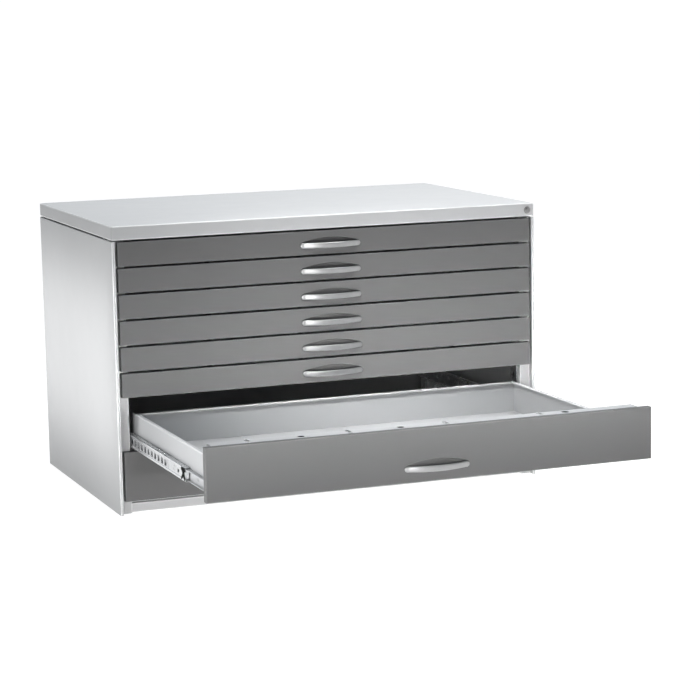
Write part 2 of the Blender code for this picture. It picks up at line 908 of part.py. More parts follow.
def drawer_member(label, side, bottom, shift):
    """The channel on the tray's side: its web on the wall, its raceways facing outwards."""
    centre = slide_centre(bottom)
    low = centre - DRAWER_MEMBER_HEIGHT / 2
    high = centre + DRAWER_MEMBER_HEIGHT / 2
    web = TRAY_WALL + LAP
    tip = DRAWER_MEMBER_START
    outline = (
        (across(side, web), low),
        (across(side, tip), low),
        (across(side, tip), low + RACEWAY),
        (across(side, TRAY_WALL - MEMBER_WEB), low + RACEWAY),
        (across(side, TRAY_WALL - MEMBER_WEB), high - RACEWAY),
        (across(side, tip), high - RACEWAY),
        (across(side, tip), high),
        (across(side, web), high),
    )
    start = back(TRAY_START + MEMBER_STEP) - shift
    return along_y(f"drawer_member_{label}", outline, start, start + SLIDE_LENGTH)


# Lock


def make_lock_barrel():
    """A turned barrel with a thin rim on the top plate's face and a bore for the plug."""
    rim = BARREL_RADIUS + BARREL_RIM
    barrel = along_y(
        "lock_barrel",
        moved(circle(BARREL_RADIUS), LOCK_X, LOCK_Z),
        FRONT_Y - SEAT_GAP - BARREL_FLANGE / 2,
        back(BARREL_LENGTH),
        "nickel",
    )
    flange = along_y(
        "barrel_rim",
        moved(circle(rim), LOCK_X, LOCK_Z),
        FRONT_Y - SEAT_GAP - BARREL_FLANGE,
        FRONT_Y - SEAT_GAP,
    )
    bore = along_y(
        "barrel_bore",
        moved(circle(PLUG_RADIUS + PLUG_CLEARANCE), LOCK_X, LOCK_Z),
        FRONT_Y - SEAT_GAP - BARREL_FLANGE - OVERRUN,
        back(BARREL_LENGTH + OVERRUN),
    )
    join(barrel, flange)
    return cut(barrel, bore)


def make_lock_plug():
    """The turning plug, with its keyway in front and a cam arm and pin behind."""
    face = FRONT_Y - SEAT_GAP - BARREL_FLANGE
    cam_front = back(BARREL_LENGTH + SEAT_GAP)
    cam_back = cam_front + CAM_THICKNESS
    plug = along_y(
        "lock_plug",
        circle(PLUG_RADIUS),
        0.0,
        cam_front - face + LAP,
        "nickel",
    )
    slope = (cos(pi + LOCK_ANGLE / 2), sin(pi + LOCK_ANGLE / 2))
    pin_x = CAM_ARM * slope[0]
    pin_z = CAM_ARM * slope[1]
    half = CAM_WIDTH / 2
    sweep = pi + LOCK_ANGLE / 2
    steps = CORNER_STEPS * 2
    arm = []
    for x, z, start in ((0.0, 0.0, sweep + pi / 2), (pin_x, pin_z, sweep - pi / 2)):
        for i in range(steps + 1):
            turn = start + pi * i / steps
            arm.append((x + half * cos(turn), z + half * sin(turn)))
    cam = along_y("lock_cam", arm, cam_front - face, cam_back - face)
    pin_end = back(BAR_SETBACK + BAR_THICKNESS + SEAT_GAP) - face
    pin = along_y(
        "cam_pin",
        moved(circle(PIN_RADIUS, CORNER_STEPS * 3), pin_x, pin_z),
        cam_back - face - LAP,
        pin_end,
    )
    keyway = box(
        "keyway",
        (-KEYWAY_WIDTH / 2, -OVERRUN, -KEYWAY_HEIGHT / 2),
        (KEYWAY_WIDTH / 2, KEYWAY_DEPTH, KEYWAY_HEIGHT / 2),
    )
    join(plug, cam, pin)
    cut(plug, keyway)
    plug.location = (LOCK_X, face, LOCK_Z)
    return plug


def make_lock_bar():
    """A flat bar in the right side's hollow, with a window for each drawer's hook."""
    pin_z = LOCK_Z - CAM_ARM * sin(LOCK_ANGLE / 2)
    half_slot = PIN_RADIUS + PIN_SLACK
    bottoms = drawer_bottoms()
    low = window_low(bottoms[-1]) - BAR_END * 2
    high = pin_z + half_slot + BAR_END
    front = back(BAR_SETBACK)
    rear = front + BAR_THICKNESS
    half = BAR_WIDTH / 2
    bar = box("lock_bar", (BAR_X - half, front, low), (BAR_X + half, rear, high), "zinc")
    near = CAM_ARM * cos(LOCK_ANGLE / 2)
    slot = box(
        "pin_slot",
        (LOCK_X - CAM_ARM - half_slot, front - OVERRUN, pin_z - half_slot),
        (LOCK_X - near + half_slot, rear + OVERRUN, pin_z + half_slot),
    )
    cut(bar, slot)
    for number, bottom in enumerate(bottoms, 1):
        window = box(
            f"bar_window_{number}",
            (BAR_X - WINDOW_WIDTH / 2, front - OVERRUN, window_low(bottom)),
            (BAR_X + WINDOW_WIDTH / 2, rear + OVERRUN, window_high(bottom)),
        )
        cut(bar, window)
    return bar


def build():
    clear_scene()
    make_top_plate()
    make_side_panel("left_side_panel", -1)
    make_lock_side_panel()
    make_back_panel()
    make_base_pan()
    make_plinth_rails()
    make_upper_rails()
    make_slide_rack("left_slide_rack", -1)
    make_slide_rack("right_slide_rack", 1)
    for number, (bottom, units) in enumerate(zip(drawer_bottoms(), DRAWER_UNITS), 1):
        shift = DRAWER_TRAVEL if number == OPEN_DRAWER else 0.0
        make_front(number, bottom, units, shift)
        make_tray(number, bottom, units, shift)
        make_handle(number, bottom, units, shift)
        make_middle_slides(number, bottom, shift * MIDDLE_TRAVEL_SHARE)
    make_lock_barrel()
    make_lock_plug()
    make_lock_bar()


build()
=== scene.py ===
"""Looks of the flat file cabinet: folded sheet, pressed fronts, cast bows and ball slides.

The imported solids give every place. Each new piece is a surface worked out with numpy.
"""

import json

import bmesh
import bpy
import numpy as np
from mathutils import Matrix, Vector


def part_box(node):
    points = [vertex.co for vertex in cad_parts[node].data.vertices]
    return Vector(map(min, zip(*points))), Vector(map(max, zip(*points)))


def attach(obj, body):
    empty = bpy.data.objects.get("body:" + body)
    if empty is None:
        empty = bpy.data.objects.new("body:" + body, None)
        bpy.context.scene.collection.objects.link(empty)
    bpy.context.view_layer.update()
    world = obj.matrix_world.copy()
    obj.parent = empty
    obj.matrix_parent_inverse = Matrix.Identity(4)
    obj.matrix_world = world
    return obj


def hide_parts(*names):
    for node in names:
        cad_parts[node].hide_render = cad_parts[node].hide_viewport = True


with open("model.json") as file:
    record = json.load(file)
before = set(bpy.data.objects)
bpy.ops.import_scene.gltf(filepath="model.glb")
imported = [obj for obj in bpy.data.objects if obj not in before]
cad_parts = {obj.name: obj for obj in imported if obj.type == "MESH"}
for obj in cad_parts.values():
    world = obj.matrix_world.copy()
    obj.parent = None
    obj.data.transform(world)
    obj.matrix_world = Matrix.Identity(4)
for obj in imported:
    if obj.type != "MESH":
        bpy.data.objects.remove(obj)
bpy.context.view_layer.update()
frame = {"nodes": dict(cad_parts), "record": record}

DRAWERS = range(1, 9)
OPEN_DRAWER = 7
TALL_DRAWERS = (7, 8)
SIDES = {"left": -1, "right": 1}

# Sheet and its bends
GAUGE = 0.0012
BEND = 0.0020
BEND_STEPS = 6
BEND_MARGIN = 0.0012

# Shadow lines under the lid and over the plinth
LID_LIFT = 0.0018
TOP_SEAM = 0.0008
TOP_ROLL = 0.0026
PLINTH_DROP = 0.0032
FRONT_TRIM = np.array([(0.0014, 0.0, 0.0), (-0.0014, 0.0, -0.0015)])
FRONT_BEND = 0.0014

# Side panels, as insets from the outer face and setbacks from the front
REAR_FLANGE = 0.020
FRONT_RETURN = 0.008
RECESS = 0.0208
INNER_FLANGE = 0.037
FLANGE_END = 0.0388
HOOK_SLOT_HALF = 0.003
HOOK_WINDOW = (0.0235, 0.0445)

# Camera, fitted to the corners and gaps in the photograph
IMAGE_SIDE = 700
FOCAL_PIXELS = 2337.93
SENSOR = 36.0
CAMERA_PLACE = (-2.18101, -5.81422, 1.36588)
CAMERA_YAW = 0.36767
CAMERA_PITCH = -0.15567
CAMERA_ROLL = -0.01958


# Shapes


def unit(rows):
    """Each row divided by its own length."""
    return rows / np.linalg.norm(rows, axis=-1, keepdims=True)


def bent(corners, radius=BEND, gauge=GAUGE, margin=BEND_MARGIN):
    """Straight runs through the corners, with an arc tangent to both runs at each bend.

    A point of an arc is centre + r (cos, sin) over the turn between the runs. r is the
    outer radius where the path turns left, and the inner one where it turns right. Each
    arc has a support point on both sides. Also gives how far each point is on a bend,
    which sets the paler bend paint: partly rubbed paint, partly a painted highlight.
    """
    corners = np.asarray(corners, float)
    before = unit(corners[1:-1] - corners[:-2])
    after = unit(corners[2:] - corners[1:-1])
    crossed = before[:, 0] * after[:, 1] - before[:, 1] * after[:, 0]
    turn = np.arctan2(crossed, (before * after).sum(1))
    radii = np.where(turn > 0, radius, radius - gauge)
    reach = radii * np.tan(np.abs(turn) / 2)
    to_centre = np.stack([-before[:, 1], before[:, 0]], 1) * np.sign(turn)[:, None]
    start = corners[1:-1] - before * reach[:, None]
    end = corners[1:-1] + after * reach[:, None]
    centre = start + to_centre * radii[:, None]
    first = np.arctan2(-to_centre[:, 1], -to_centre[:, 0])
    angles = first[:, None] + turn[:, None] * np.linspace(0, 1, BEND_STEPS + 1)
    ring = np.stack([np.cos(angles), np.sin(angles)], -1)
    arcs = centre[:, None] + radii[:, None, None] * ring
    lead = (start - before * margin)[:, None]
    trail = (end + after * margin)[:, None]
    inner = np.concatenate([lead, arcs, trail], 1).reshape(-1, 2)
    bend_wear_and_highlight = np.ones((len(turn), BEND_STEPS + 3))
    bend_wear_and_highlight[:, [0, -1]] = 0.0
    path = np.vstack([corners[:1], inner, corners[-1:]])
    return path, np.concatenate([[0.0], bend_wear_and_highlight.ravel(), [0.0]])


def lengths(path):
    """The distance walked along the path up to each of its points."""
    return np.concatenate([[0.0], np.cumsum(np.linalg.norm(np.diff(path, axis=0), axis=1))])


def walked_to(path, point):
    """The distance walked along the path to its place nearest to a point."""
    start = path[:-1]
    run = path[1:] - start
    share = ((np.asarray(point) - start) * run).sum(1) / (run * run).sum(1)
    share = np.clip(share, 0, 1)
    gap = np.linalg.norm(start + run * share[:, None] - point, axis=1)
    best = gap.argmin()
    walked = lengths(path)
    return walked[best] + share[best] * (walked[best + 1] - walked[best])


def with_stops(path, bend_wear_and_highlight, stops):
    """The same path with a point at each of the distances walked."""
    walked = lengths(path)
    merged = np.unique(np.round(np.concatenate([walked, stops]), 7))
    points = np.stack([np.interp(merged, walked, path[:, i]) for i in (0, 1)], 1)
    return points, np.interp(merged, walked, bend_wear_and_highlight)


def grid_faces(rows, columns, wrap=False):
    """The quads of a grid of rows by columns, as rows of point numbers."""
    numbers = np.arange(rows * columns).reshape(rows, columns)
    if wrap:
        numbers = np.hstack([numbers, numbers[:, :1]])
    corner = numbers[:-1, :-1], numbers[1:, :-1], numbers[1:, 1:], numbers[:-1, 1:]
    return np.stack(corner, -1)


class Shape:
    """Points, faces and the bend mask for rubbed paint and painted highlight, gathered from several
    surfaces before they become a mesh.
    """

    def __init__(self):
        """Starts with nothing in it."""
        self.points = np.zeros((0, 3))
        self.bend_wear_and_highlight = np.zeros(0)
        self.faces = []

    def add(self, points, faces, bend_wear_and_highlight=None):
        """Takes in points, blocks of faces numbered among them, and their bend mask for rubbed
        paint and painted highlight.
        """
        start = len(self.points)
        points = np.asarray(points, float).reshape(-1, 3)
        self.points = np.vstack([self.points, points])
        if bend_wear_and_highlight is None:
            bend_wear_and_highlight = np.zeros(len(points))
        self.bend_wear_and_highlight = np.concatenate([self.bend_wear_and_highlight, np.asarray(bend_wear_and_highlight, float).ravel()])
        for block in faces:
            self.faces += (np.asarray(block) + start).tolist()
        return self

    def mirrored(self):
        """The same shape on the other side of x = 0, with its faces turned back."""
        other = Shape()
        flipped = [face[::-1] for face in self.faces]
        other.points = self.points * (-1, 1, 1)
        other.bend_wear_and_highlight = self.bend_wear_and_highlight.copy()
        other.faces = flipped
        return other

    def put(self, other):
        """Takes in another shape."""
        start = len(self.points)
        self.points = np.vstack([self.points, other.points])
        self.bend_wear_and_highlight = np.concatenate([self.bend_wear_and_highlight, other.bend_wear_and_highlight])
        self.faces += [[number + start for number in face] for face in other.faces]
        return self


def placed(path, stations, axis):
    """The path's two numbers and the stations along one axis as a grid of points."""
    first = np.repeat(path[:, 0], len(stations)).reshape(len(path), -1)
    second = np.repeat(path[:, 1], len(stations)).reshape(len(path), -1)
    along = np.broadcast_to(stations, first.shape)
    order = {"x": (along, first, second), "y": (first, along, second)}
    return np.stack(order.get(axis, (first, second, along)), -1)


def swept(corners, start, end, axis, holes=(), stops=(), lines=(), **bend):
    """A bent path carried along an axis, without the cells that lie in a hole.

    A hole is two points on the path and two places along the axis. Stops are more points
    on the path and lines more places, which get a row of their own.
    """
    path, bend_wear_and_highlight = bent(corners, **bend)
    spans = [(walked_to(path, a), walked_to(path, b), low, high) for a, b, low, high in holes]
    walked = [walked_to(path, point) for point in stops]
    walked += [span[i] for span in spans for i in (0, 1)]
    if walked:
        path, bend_wear_and_highlight = with_stops(path, bend_wear_and_highlight, walked)
    edges = [start, end, *lines] + [span[i] for span in spans for i in (2, 3)]
    stations = np.unique(np.round(edges, 7))
    points = placed(path, stations, axis)
    faces = grid_faces(len(path), len(stations))
    if axis == "y":
        faces = faces[..., ::-1]
    here = lengths(path)
    middle = (here[1:] + here[:-1])[:, None] / 2
    across = (stations[1:] + stations[:-1])[None] / 2
    keep = np.ones(faces.shape[:2], bool)
    for a, b, low, high in spans:
        inside = (middle > min(a, b)) & (middle < max(a, b)) & (across > low) & (across < high)
        keep &= ~inside
    shape = Shape()
    shape.add(points, [faces[keep]], np.repeat(bend_wear_and_highlight, len(stations)))
    return shape


def turned(profile, centre, axis, steps=48):
    """A profile of (radius, place) turned about an axis through the centre."""
    profile = np.asarray(profile, float)
    angles = np.linspace(0, 2 * np.pi, steps, endpoint=False)
    radius = profile[:, :1]
    a = radius * np.cos(angles)
    b = radius * np.sin(angles)
    along = np.broadcast_to(profile[:, 1:], a.shape)
    points = np.stack({"x": (along, a, b), "y": (b, along, a), "z": (a, b, along)}[axis], -1)
    shape = Shape()
    shape.add(points + np.asarray(centre), [grid_faces(len(profile), steps, True).reshape(-1, 4)])
    return shape


def extruded(outline, start, end, axis):
    """A closed outline of two numbers carried along an axis, with both ends filled."""
    points = placed(np.asarray(outline, float), np.array([start, end]), axis)
    count = len(outline)
    low = np.arange(count) * 2
    after = np.roll(low, -1)
    sides = np.stack([low, after, after + 1, low + 1], 1)
    return Shape().add(points, [sides, [low[::-1]], [low + 1]])


def capsule(length, radius, lean=0.0, steps=8):
    """A round-ended bar's outline: two half circles, turned by a lean."""
    half = length / 2 - radius
    turns = np.linspace(-np.pi / 2, np.pi / 2, steps + 1)
    right = np.stack([half + radius * np.cos(turns), radius * np.sin(turns)], 1)
    both = np.vstack([right, -right])
    turn = np.array([[np.cos(lean), np.sin(lean)], [-np.sin(lean), np.cos(lean)]])
    return both @ turn


# Making pieces


def make_piece(name, shape, material, body, stands_for=(), thick=0.0, closed=False):
    """A mesh object from a shape, smooth apart from its sharp edges, riding on a body."""
    mesh = bpy.data.meshes.new(name)
    mesh.from_pydata(shape.points, [], shape.faces)
    attribute = mesh.attributes.new("bend_wear_and_highlight", "FLOAT", "POINT")
    attribute.data.foreach_set("value", shape.bend_wear_and_highlight.astype(np.float32))
    builder = bmesh.new()
    builder.from_mesh(mesh)
    bmesh.ops.remove_doubles(builder, verts=builder.verts, dist=1e-6)
    bmesh.ops.dissolve_degenerate(builder, edges=builder.edges, dist=1e-7)
    if closed:
        bmesh.ops.recalc_face_normals(builder, faces=builder.faces)
    builder.to_mesh(mesh)
    builder.free()
    mesh.shade_smooth()
    mesh.set_sharp_from_angle(angle=np.radians(32))
    item = bpy.data.objects.new(name, mesh)
    bpy.context.scene.collection.objects.link(item)
    mesh.materials.append(material)
    if thick:
        wall = item.modifiers.new("wall", "SOLIDIFY")
        wall.thickness = thick
        wall.offset = -1.0
        wall.use_even_offset = True
        wall.use_quality_normals = True
    even = item.modifiers.new("flat faces", "WEIGHTED_NORMAL")
    even.keep_sharp = True
    even.weight = 60
    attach(item, body)
    if stands_for:
        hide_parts(*stands_for)
    return item


def round_edges(item, width, segments=3, angle=32):
    """Rounds a piece's sharp edges by a width."""
    bevel = item.modifiers.new("round edges", "BEVEL")
    bevel.width = width
    bevel.segments = segments
    bevel.limit_method = "ANGLE"
    bevel.angle_limit = np.radians(angle)
    bevel.harden_normals = True
    while item.modifiers.find("round edges") > item.modifiers.find("flat faces"):
        item.modifiers.move(item.modifiers.find("round edges"), item.modifiers.find("flat faces"))
    return item


# Materials


class Wiring:
    """Short words for adding and joining nodes."""

    def __init__(self, tree):
        """Works on one node tree."""
        self.tree = tree

    def node(self, kind, **settings):
        """A new node with these settings."""
        made = self.tree.nodes.new(kind)
        for key, value in settings.items():
            setattr(made, key, value)
        return made

    def feed(self, socket, source):
        """Joins a socket to another one, or sets its value."""
        if isinstance(source, bpy.types.NodeSocket):
            self.tree.links.new(source, socket)
        else:
            socket.default_value = source

    def noise(self, where, scale, detail=3.0, roughness=0.5):
        """Cloudy noise from 0 to 1, with a scale per metre."""
        made = self.node("ShaderNodeTexNoise")
        self.feed(made.inputs["Vector"], where)
        self.feed(made.inputs["Scale"], scale)
        self.feed(made.inputs["Detail"], detail)
        self.feed(made.inputs["Roughness"], roughness)
        return made.outputs["Fac"]

    def maths(self, operation, *values):
        """One sum on numbers or sockets."""
        made = self.node("ShaderNodeMath", operation=operation)
        for socket, value in zip(made.inputs, values):
            self.feed(socket, value)
        return made.outputs[0]

    def ranged(self, value, low, high, to_low, to_high):
        """A value carried from one range to another, and held inside it."""
        made = self.node("ShaderNodeMapRange")
        for socket, number in zip(made.inputs, (value, low, high, to_low, to_high)):
            self.feed(socket, number)
        return made.outputs[0]

    def mixed(self, factor, first, second):
        """A colour between two, by a factor."""
        made = self.node("ShaderNodeMix", data_type="RGBA")
        self.feed(made.inputs["Factor"], factor)
        self.feed(made.inputs["A"], first)
        self.feed(made.inputs["B"], second)
        return made.outputs["Result"]

    def bump(self, height, strength, distance):
        """A normal tilted by a height."""
        made = self.node("ShaderNodeBump")
        self.feed(made.inputs["Height"], height)
        self.feed(made.inputs["Strength"], strength)
        self.feed(made.inputs["Distance"], distance)
        return made.outputs["Normal"]


SOCKET_KINDS = {1: "NodeSocketFloat", 3: "NodeSocketVector", 4: "NodeSocketColor"}


def opened_group(name, first_values):
    """A node group with these inputs and the three outputs that each finish has.

    Also gives its wiring, its inputs and outputs, the place in the piece and the bend mask for
    rubbed paint and painted highlight.
    """
    tree = bpy.data.node_groups.new(name, "ShaderNodeTree")
    for key, value in first_values.items():
        kind = SOCKET_KINDS[np.size(value)]
        made = tree.interface.new_socket(name=key, in_out="INPUT", socket_type=kind)
        made.default_value = value
    for key, width in (("Color", 4), ("Roughness", 1), ("Normal", 3)):
        tree.interface.new_socket(name=key, in_out="OUTPUT", socket_type=SOCKET_KINDS[width])
    wire = Wiring(tree)
    given = wire.node("NodeGroupInput").outputs
    result = wire.node("NodeGroupOutput").inputs
    where = wire.node("ShaderNodeTexCoord").outputs["Object"]
    bend_wear_and_highlight = wire.node("ShaderNodeAttribute", attribute_name="bend_wear_and_highlight").outputs["Fac"]
    return tree, wire, given, result, where, bend_wear_and_highlight


def grey(value, warm=0.0):
    """A near neutral colour, a little warmer or cooler."""
    return (value * (1 + warm), value, value * (1 - warm), 1.0)


def powder_group():
    """Powder coat: orange peel, slow changes of tone, and paler paint along the bends, partly
    rubbed paint and partly a painted highlight.
    """
    first = {"Paint": grey(0.5), "Bend Wear And Highlight Paint": grey(0.6)}
    first |= {"Roughness": 0.45, "Peel": 0.25, "Tone": 0.04}
    tree, wire, given, result, where, bend_wear_and_highlight = opened_group("powder coat", first)
    slow = wire.noise(where, 3.1, 4.0, 0.55)
    fine = wire.noise(where, 900.0, 2.0, 0.6)
    peel = wire.noise(where, 420.0, 2.0, 0.5)
    patch_noise = wire.noise(where, 14.0, 5.0, 0.62)
    tone = wire.maths("MULTIPLY", wire.maths("SUBTRACT", slow, 0.5), given["Tone"])
    speck = wire.maths("MULTIPLY", wire.maths("SUBTRACT", fine, 0.5), given["Tone"])
    level = wire.maths("ADD", wire.maths("ADD", tone, speck), 1.0)
    scaled = wire.node("ShaderNodeMix", data_type="RGBA", blend_type="MULTIPLY")
    wire.feed(scaled.inputs["Factor"], 1.0)
    wire.feed(scaled.inputs["A"], given["Paint"])
    even = wire.node("ShaderNodeCombineColor")
    for socket in even.inputs:
        wire.feed(socket, level)
    wire.feed(scaled.inputs["B"], even.outputs[0])
    # The paler paint on the bends, in patches, is partly rubbed paint and partly a painted
    # highlight along the edges.
    patchy = wire.ranged(patch_noise, 0.3, 0.7, 0.5, 1.0)
    edge = wire.maths("MULTIPLY", bend_wear_and_highlight, patchy)
    wire.feed(result["Color"], wire.mixed(edge, scaled.outputs["Result"], given["Bend Wear And Highlight Paint"]))
    rubbed = wire.maths("MULTIPLY", wire.maths("SUBTRACT", patch_noise, 0.5), 0.16)
    wire.feed(result["Roughness"], wire.maths("ADD", given["Roughness"], rubbed))
    height = wire.maths("ADD", peel, wire.maths("MULTIPLY", fine, 0.4))
    wire.feed(result["Normal"], wire.bump(height, given["Peel"], 0.00012))
    return tree


def metal_group():
    """Bare metal: fine grain drawn along one axis, cloudy plating and rubbed patches."""
    first = {"Metal": grey(0.6), "Dull Metal": grey(0.5)}
    first |= {"Roughness": 0.3, "Grain": 0.2, "Stretch": (1.0, 1.0, 1.0)}
    tree, wire, given, result, where, bend_wear_and_highlight = opened_group("metal grain", first)
    stretched = wire.node("ShaderNodeVectorMath", operation="MULTIPLY")
    wire.feed(stretched.inputs[0], where)
    wire.feed(stretched.inputs[1], given["Stretch"])
    grain = wire.noise(stretched.outputs[0], 1400.0, 3.0, 0.6)
    cloud = wire.noise(where, 38.0, 5.0, 0.6)
    dull = wire.maths("SUBTRACT", wire.ranged(cloud, 0.3, 0.72, 0.0, 0.8), bend_wear_and_highlight)
    dull = wire.maths("MAXIMUM", dull, 0.0)
    wire.feed(result["Color"], wire.mixed(dull, given["Metal"], given["Dull Metal"]))
    rough = wire.maths("ADD", given["Roughness"], wire.maths("MULTIPLY", dull, 0.14))
    fine = wire.maths("MULTIPLY", wire.maths("SUBTRACT", grain, 0.5), 0.1)
    wire.feed(result["Roughness"], wire.maths("ADD", rough, fine))
    wire.feed(result["Normal"], wire.bump(grain, given["Grain"], 0.00006))
    return tree


def surfaced(name, group, values, constants):
    """A Principled material fed by a group, with its even numbers on its own sockets."""
    material = bpy.data.materials.new(name)
    material.use_nodes = True
    wire = Wiring(material.node_tree)
    shader = material.node_tree.nodes["Principled BSDF"]
    used = wire.node("ShaderNodeGroup", node_tree=group)
    for key, value in values.items():
        wire.feed(used.inputs[key], value)
    for source, target in (("Color", "Base Color"), ("Roughness",) * 2, ("Normal",) * 2):
        wire.feed(shader.inputs[target], used.outputs[source])
    for key, value in constants.items():
        shader.inputs[key].default_value = value
    return material


POWDER = powder_group()
METAL = metal_group()

# Scales of the grain's noise: a small one draws it out along that axis
ALONG_X, ALONG_Y, ALONG_Z = (0.25, 1.0, 1.0), (1.0, 0.05, 1.0), (1.0, 1.0, 0.2)


def painted(name, paint, edge, roughness, peel, specular, **more):
    """A powder coat or plastic, with a paler tone for its bends: partly rubbed paint, partly a
    painted highlight.
    """
    values = {"Paint": paint, "Bend Wear And Highlight Paint": grey(edge), "Roughness": roughness, "Peel": peel}
    return surfaced(name, POWDER, values | more, {"Specular IOR Level": specular})


def plated(name, bright, dull, warm, roughness, grain, metallic, **more):
    """A metal with a bright and a dull tone, and the grain drawn along one axis."""
    values = {"Metal": grey(bright, warm), "Dull Metal": grey(dull, warm)}
    values |= {"Roughness": roughness, "Grain": grain}
    return surfaced(name, METAL, values | more, {"Metallic": metallic})


# Each paint's second tone goes on its bends: partly rubbed paint, partly a painted highlight along
# the edges.
SHELL_PAINT = painted("light powder coat", grey(0.47, -0.004), 0.80, 0.45, 0.22, 0.25)
FRONT_PAINT = painted("mid grey powder coat", grey(0.115, 0.008), 0.16, 0.45, 0.26, 0.25)
TRAY_PAINT = painted("tray powder coat", grey(0.46, -0.01), 0.72, 0.42, 0.20, 0.30)
CAST_SILVER = plated("satin cast silver", 0.44, 0.37, 0.0, 0.33, 0.15, 0.95, Stretch=ALONG_X)
ZINC = plated("bright zinc plate", 0.76, 0.54, -0.01, 0.24, 0.18, 0.85, Stretch=ALONG_Y)
DULL_ZINC = plated("passivated zinc plate", 0.58, 0.48, -0.01, 0.34, 0.18, 0.3, Stretch=ALONG_Y)
NICKEL = plated("satin nickel", 0.34, 0.26, 0.01, 0.24, 0.12, 1.0, Stretch=ALONG_Z)
BALL_STEEL = plated("polished balls", 0.8, 0.72, 0.0, 0.12, 0.02, 1.0)
BLACK_PLASTIC = painted("black moulded plastic", grey(0.004), 0.01, 0.6, 0.5, 0.03, Tone=0.2)

SLOT_FINISH = {
    "body_paint": SHELL_PAINT,
    "front_paint": FRONT_PAINT,
    "tray_paint": TRAY_PAINT,
    "handle_metal": CAST_SILVER,
    "zinc": ZINC,
    "black_plastic": BLACK_PLASTIC,
    "nickel": NICKEL,
}


def finish_solids():
    """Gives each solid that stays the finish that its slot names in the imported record."""
    for row in frame["record"]["subparts"]:
        node = frame["nodes"].get(row["node"])
        finish = SLOT_FINISH[row["material_slot"]]
        if node is None:
            continue
        if node.data.materials:
            node.material_slots[0].link = "OBJECT"
            node.material_slots[0].material = finish
        else:
            node.data.materials.append(finish)


# Cabinet


def corners_of(node):
    """The lowest and highest corners of a solid, as two rows."""
    return np.array([list(corner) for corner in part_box(node)])


LEFT, FRONT_Y = corners_of("top_plate")[0, :2]
BACK_Y = corners_of("top_plate")[1, 1]
SIDE_TOP = corners_of("top_plate")[0, 2]
TOP = corners_of("top_plate")[1, 2]
HALF_WIDTH = -LEFT
DEPTH = BACK_Y - FRONT_Y


def at(side_inset, setback):
    """A place in plan on the left side: an inset from the outer face and a setback."""
    return (side_inset - HALF_WIDTH, FRONT_Y + setback)


def rounded_rectangle(half_width, low, high, radius, steps=8):
    """Four quarter arcs about the corners' centres, as rows of x and y."""
    turns = np.linspace(0, np.pi / 2, steps + 1)
    starts = np.array([-0.5, 0.0, 0.5, 1.0]) * np.pi
    angles = starts[:, None] + turns
    centre_x = np.array([1, 1, -1, -1]) * (half_width - radius)
    centre_y = np.array([low + radius, high - radius, high - radius, low + radius])
    x = centre_x[:, None] + radius * np.cos(angles)
    y = centre_y[:, None] + radius * np.sin(angles)
    return np.stack([x.ravel(), y.ravel()], 1)


def make_top():
    """The lid: its section of inset and height carried round a rectangle with round corners.

    At an inset d the rectangle's corner radius is the outer radius less d, and not under
    a small least radius. The last ring closes over the flat top.
    """
    corner, least, lip, lip_up, flat_inset = 0.006, 0.0004, 0.015, 0.006, 0.02
    rim = SIDE_TOP + LID_LIFT
    section = [(lip, rim + lip_up), (lip, rim), (0.0, rim), (0.0, TOP), (flat_inset, TOP)]
    # The lid's bends take the paler bend paint, partly rubbed and partly a painted highlight along
    # its edges.
    section, bend_wear_and_highlight = bent(section, radius=0.0034)
    rings = []
    for inset, height in section:
        radius = max(corner - inset, least)
        flat = rounded_rectangle(HALF_WIDTH - inset, FRONT_Y + inset, BACK_Y - inset, radius)
        rings.append(np.column_stack([flat, np.full(len(flat), height)]))
    count = len(rings[0])
    faces = grid_faces(len(rings), count, True).reshape(-1, 4)[:, ::-1]
    cap = np.arange(count) + (len(rings) - 1) * count
    shape = Shape().add(np.concatenate(rings), [faces, [cap]], np.repeat(bend_wear_and_highlight, count))
    make_piece("top_lid", shape, SHELL_PAINT, "cabinet", ["top_plate"], GAUGE)


def hook_window(bottom):
    """Heights of the slot that a drawer's lock hook passes through."""
    return bottom + HOOK_WINDOW[0], bottom + HOOK_WINDOW[1]


# Half of the solids' gap between two fronts, and the bottom of each drawer's bay
HALF_FRONT_GAP = 0.00225
BOTTOMS = {n: corners_of(f"front_panel_{n}")[0, 2] - HALF_FRONT_GAP for n in DRAWERS}
BAR_X = float(corners_of("lock_bar")[:, 0].mean())


def turn_in_top(shape, high, radius):
    """Rolls a side sheet's outer edge inwards under the lid, to leave a shadow line.

    At an angle t up the roll the height is high - r (1 - sin t), and each point is held
    inside the outer rectangle drawn in by r (1 - cos t).
    """
    rise = np.clip((shape.points[:, 2] - high + radius) / radius, 0.0, 1.0)
    drawn_in = radius * (1 - np.sqrt(1 - rise**2))
    shape.points[:, 0] = np.maximum(shape.points[:, 0], drawn_in - HALF_WIDTH)
    shape.points[:, 1] = np.clip(shape.points[:, 1], FRONT_Y + drawn_in, BACK_Y - drawn_in)


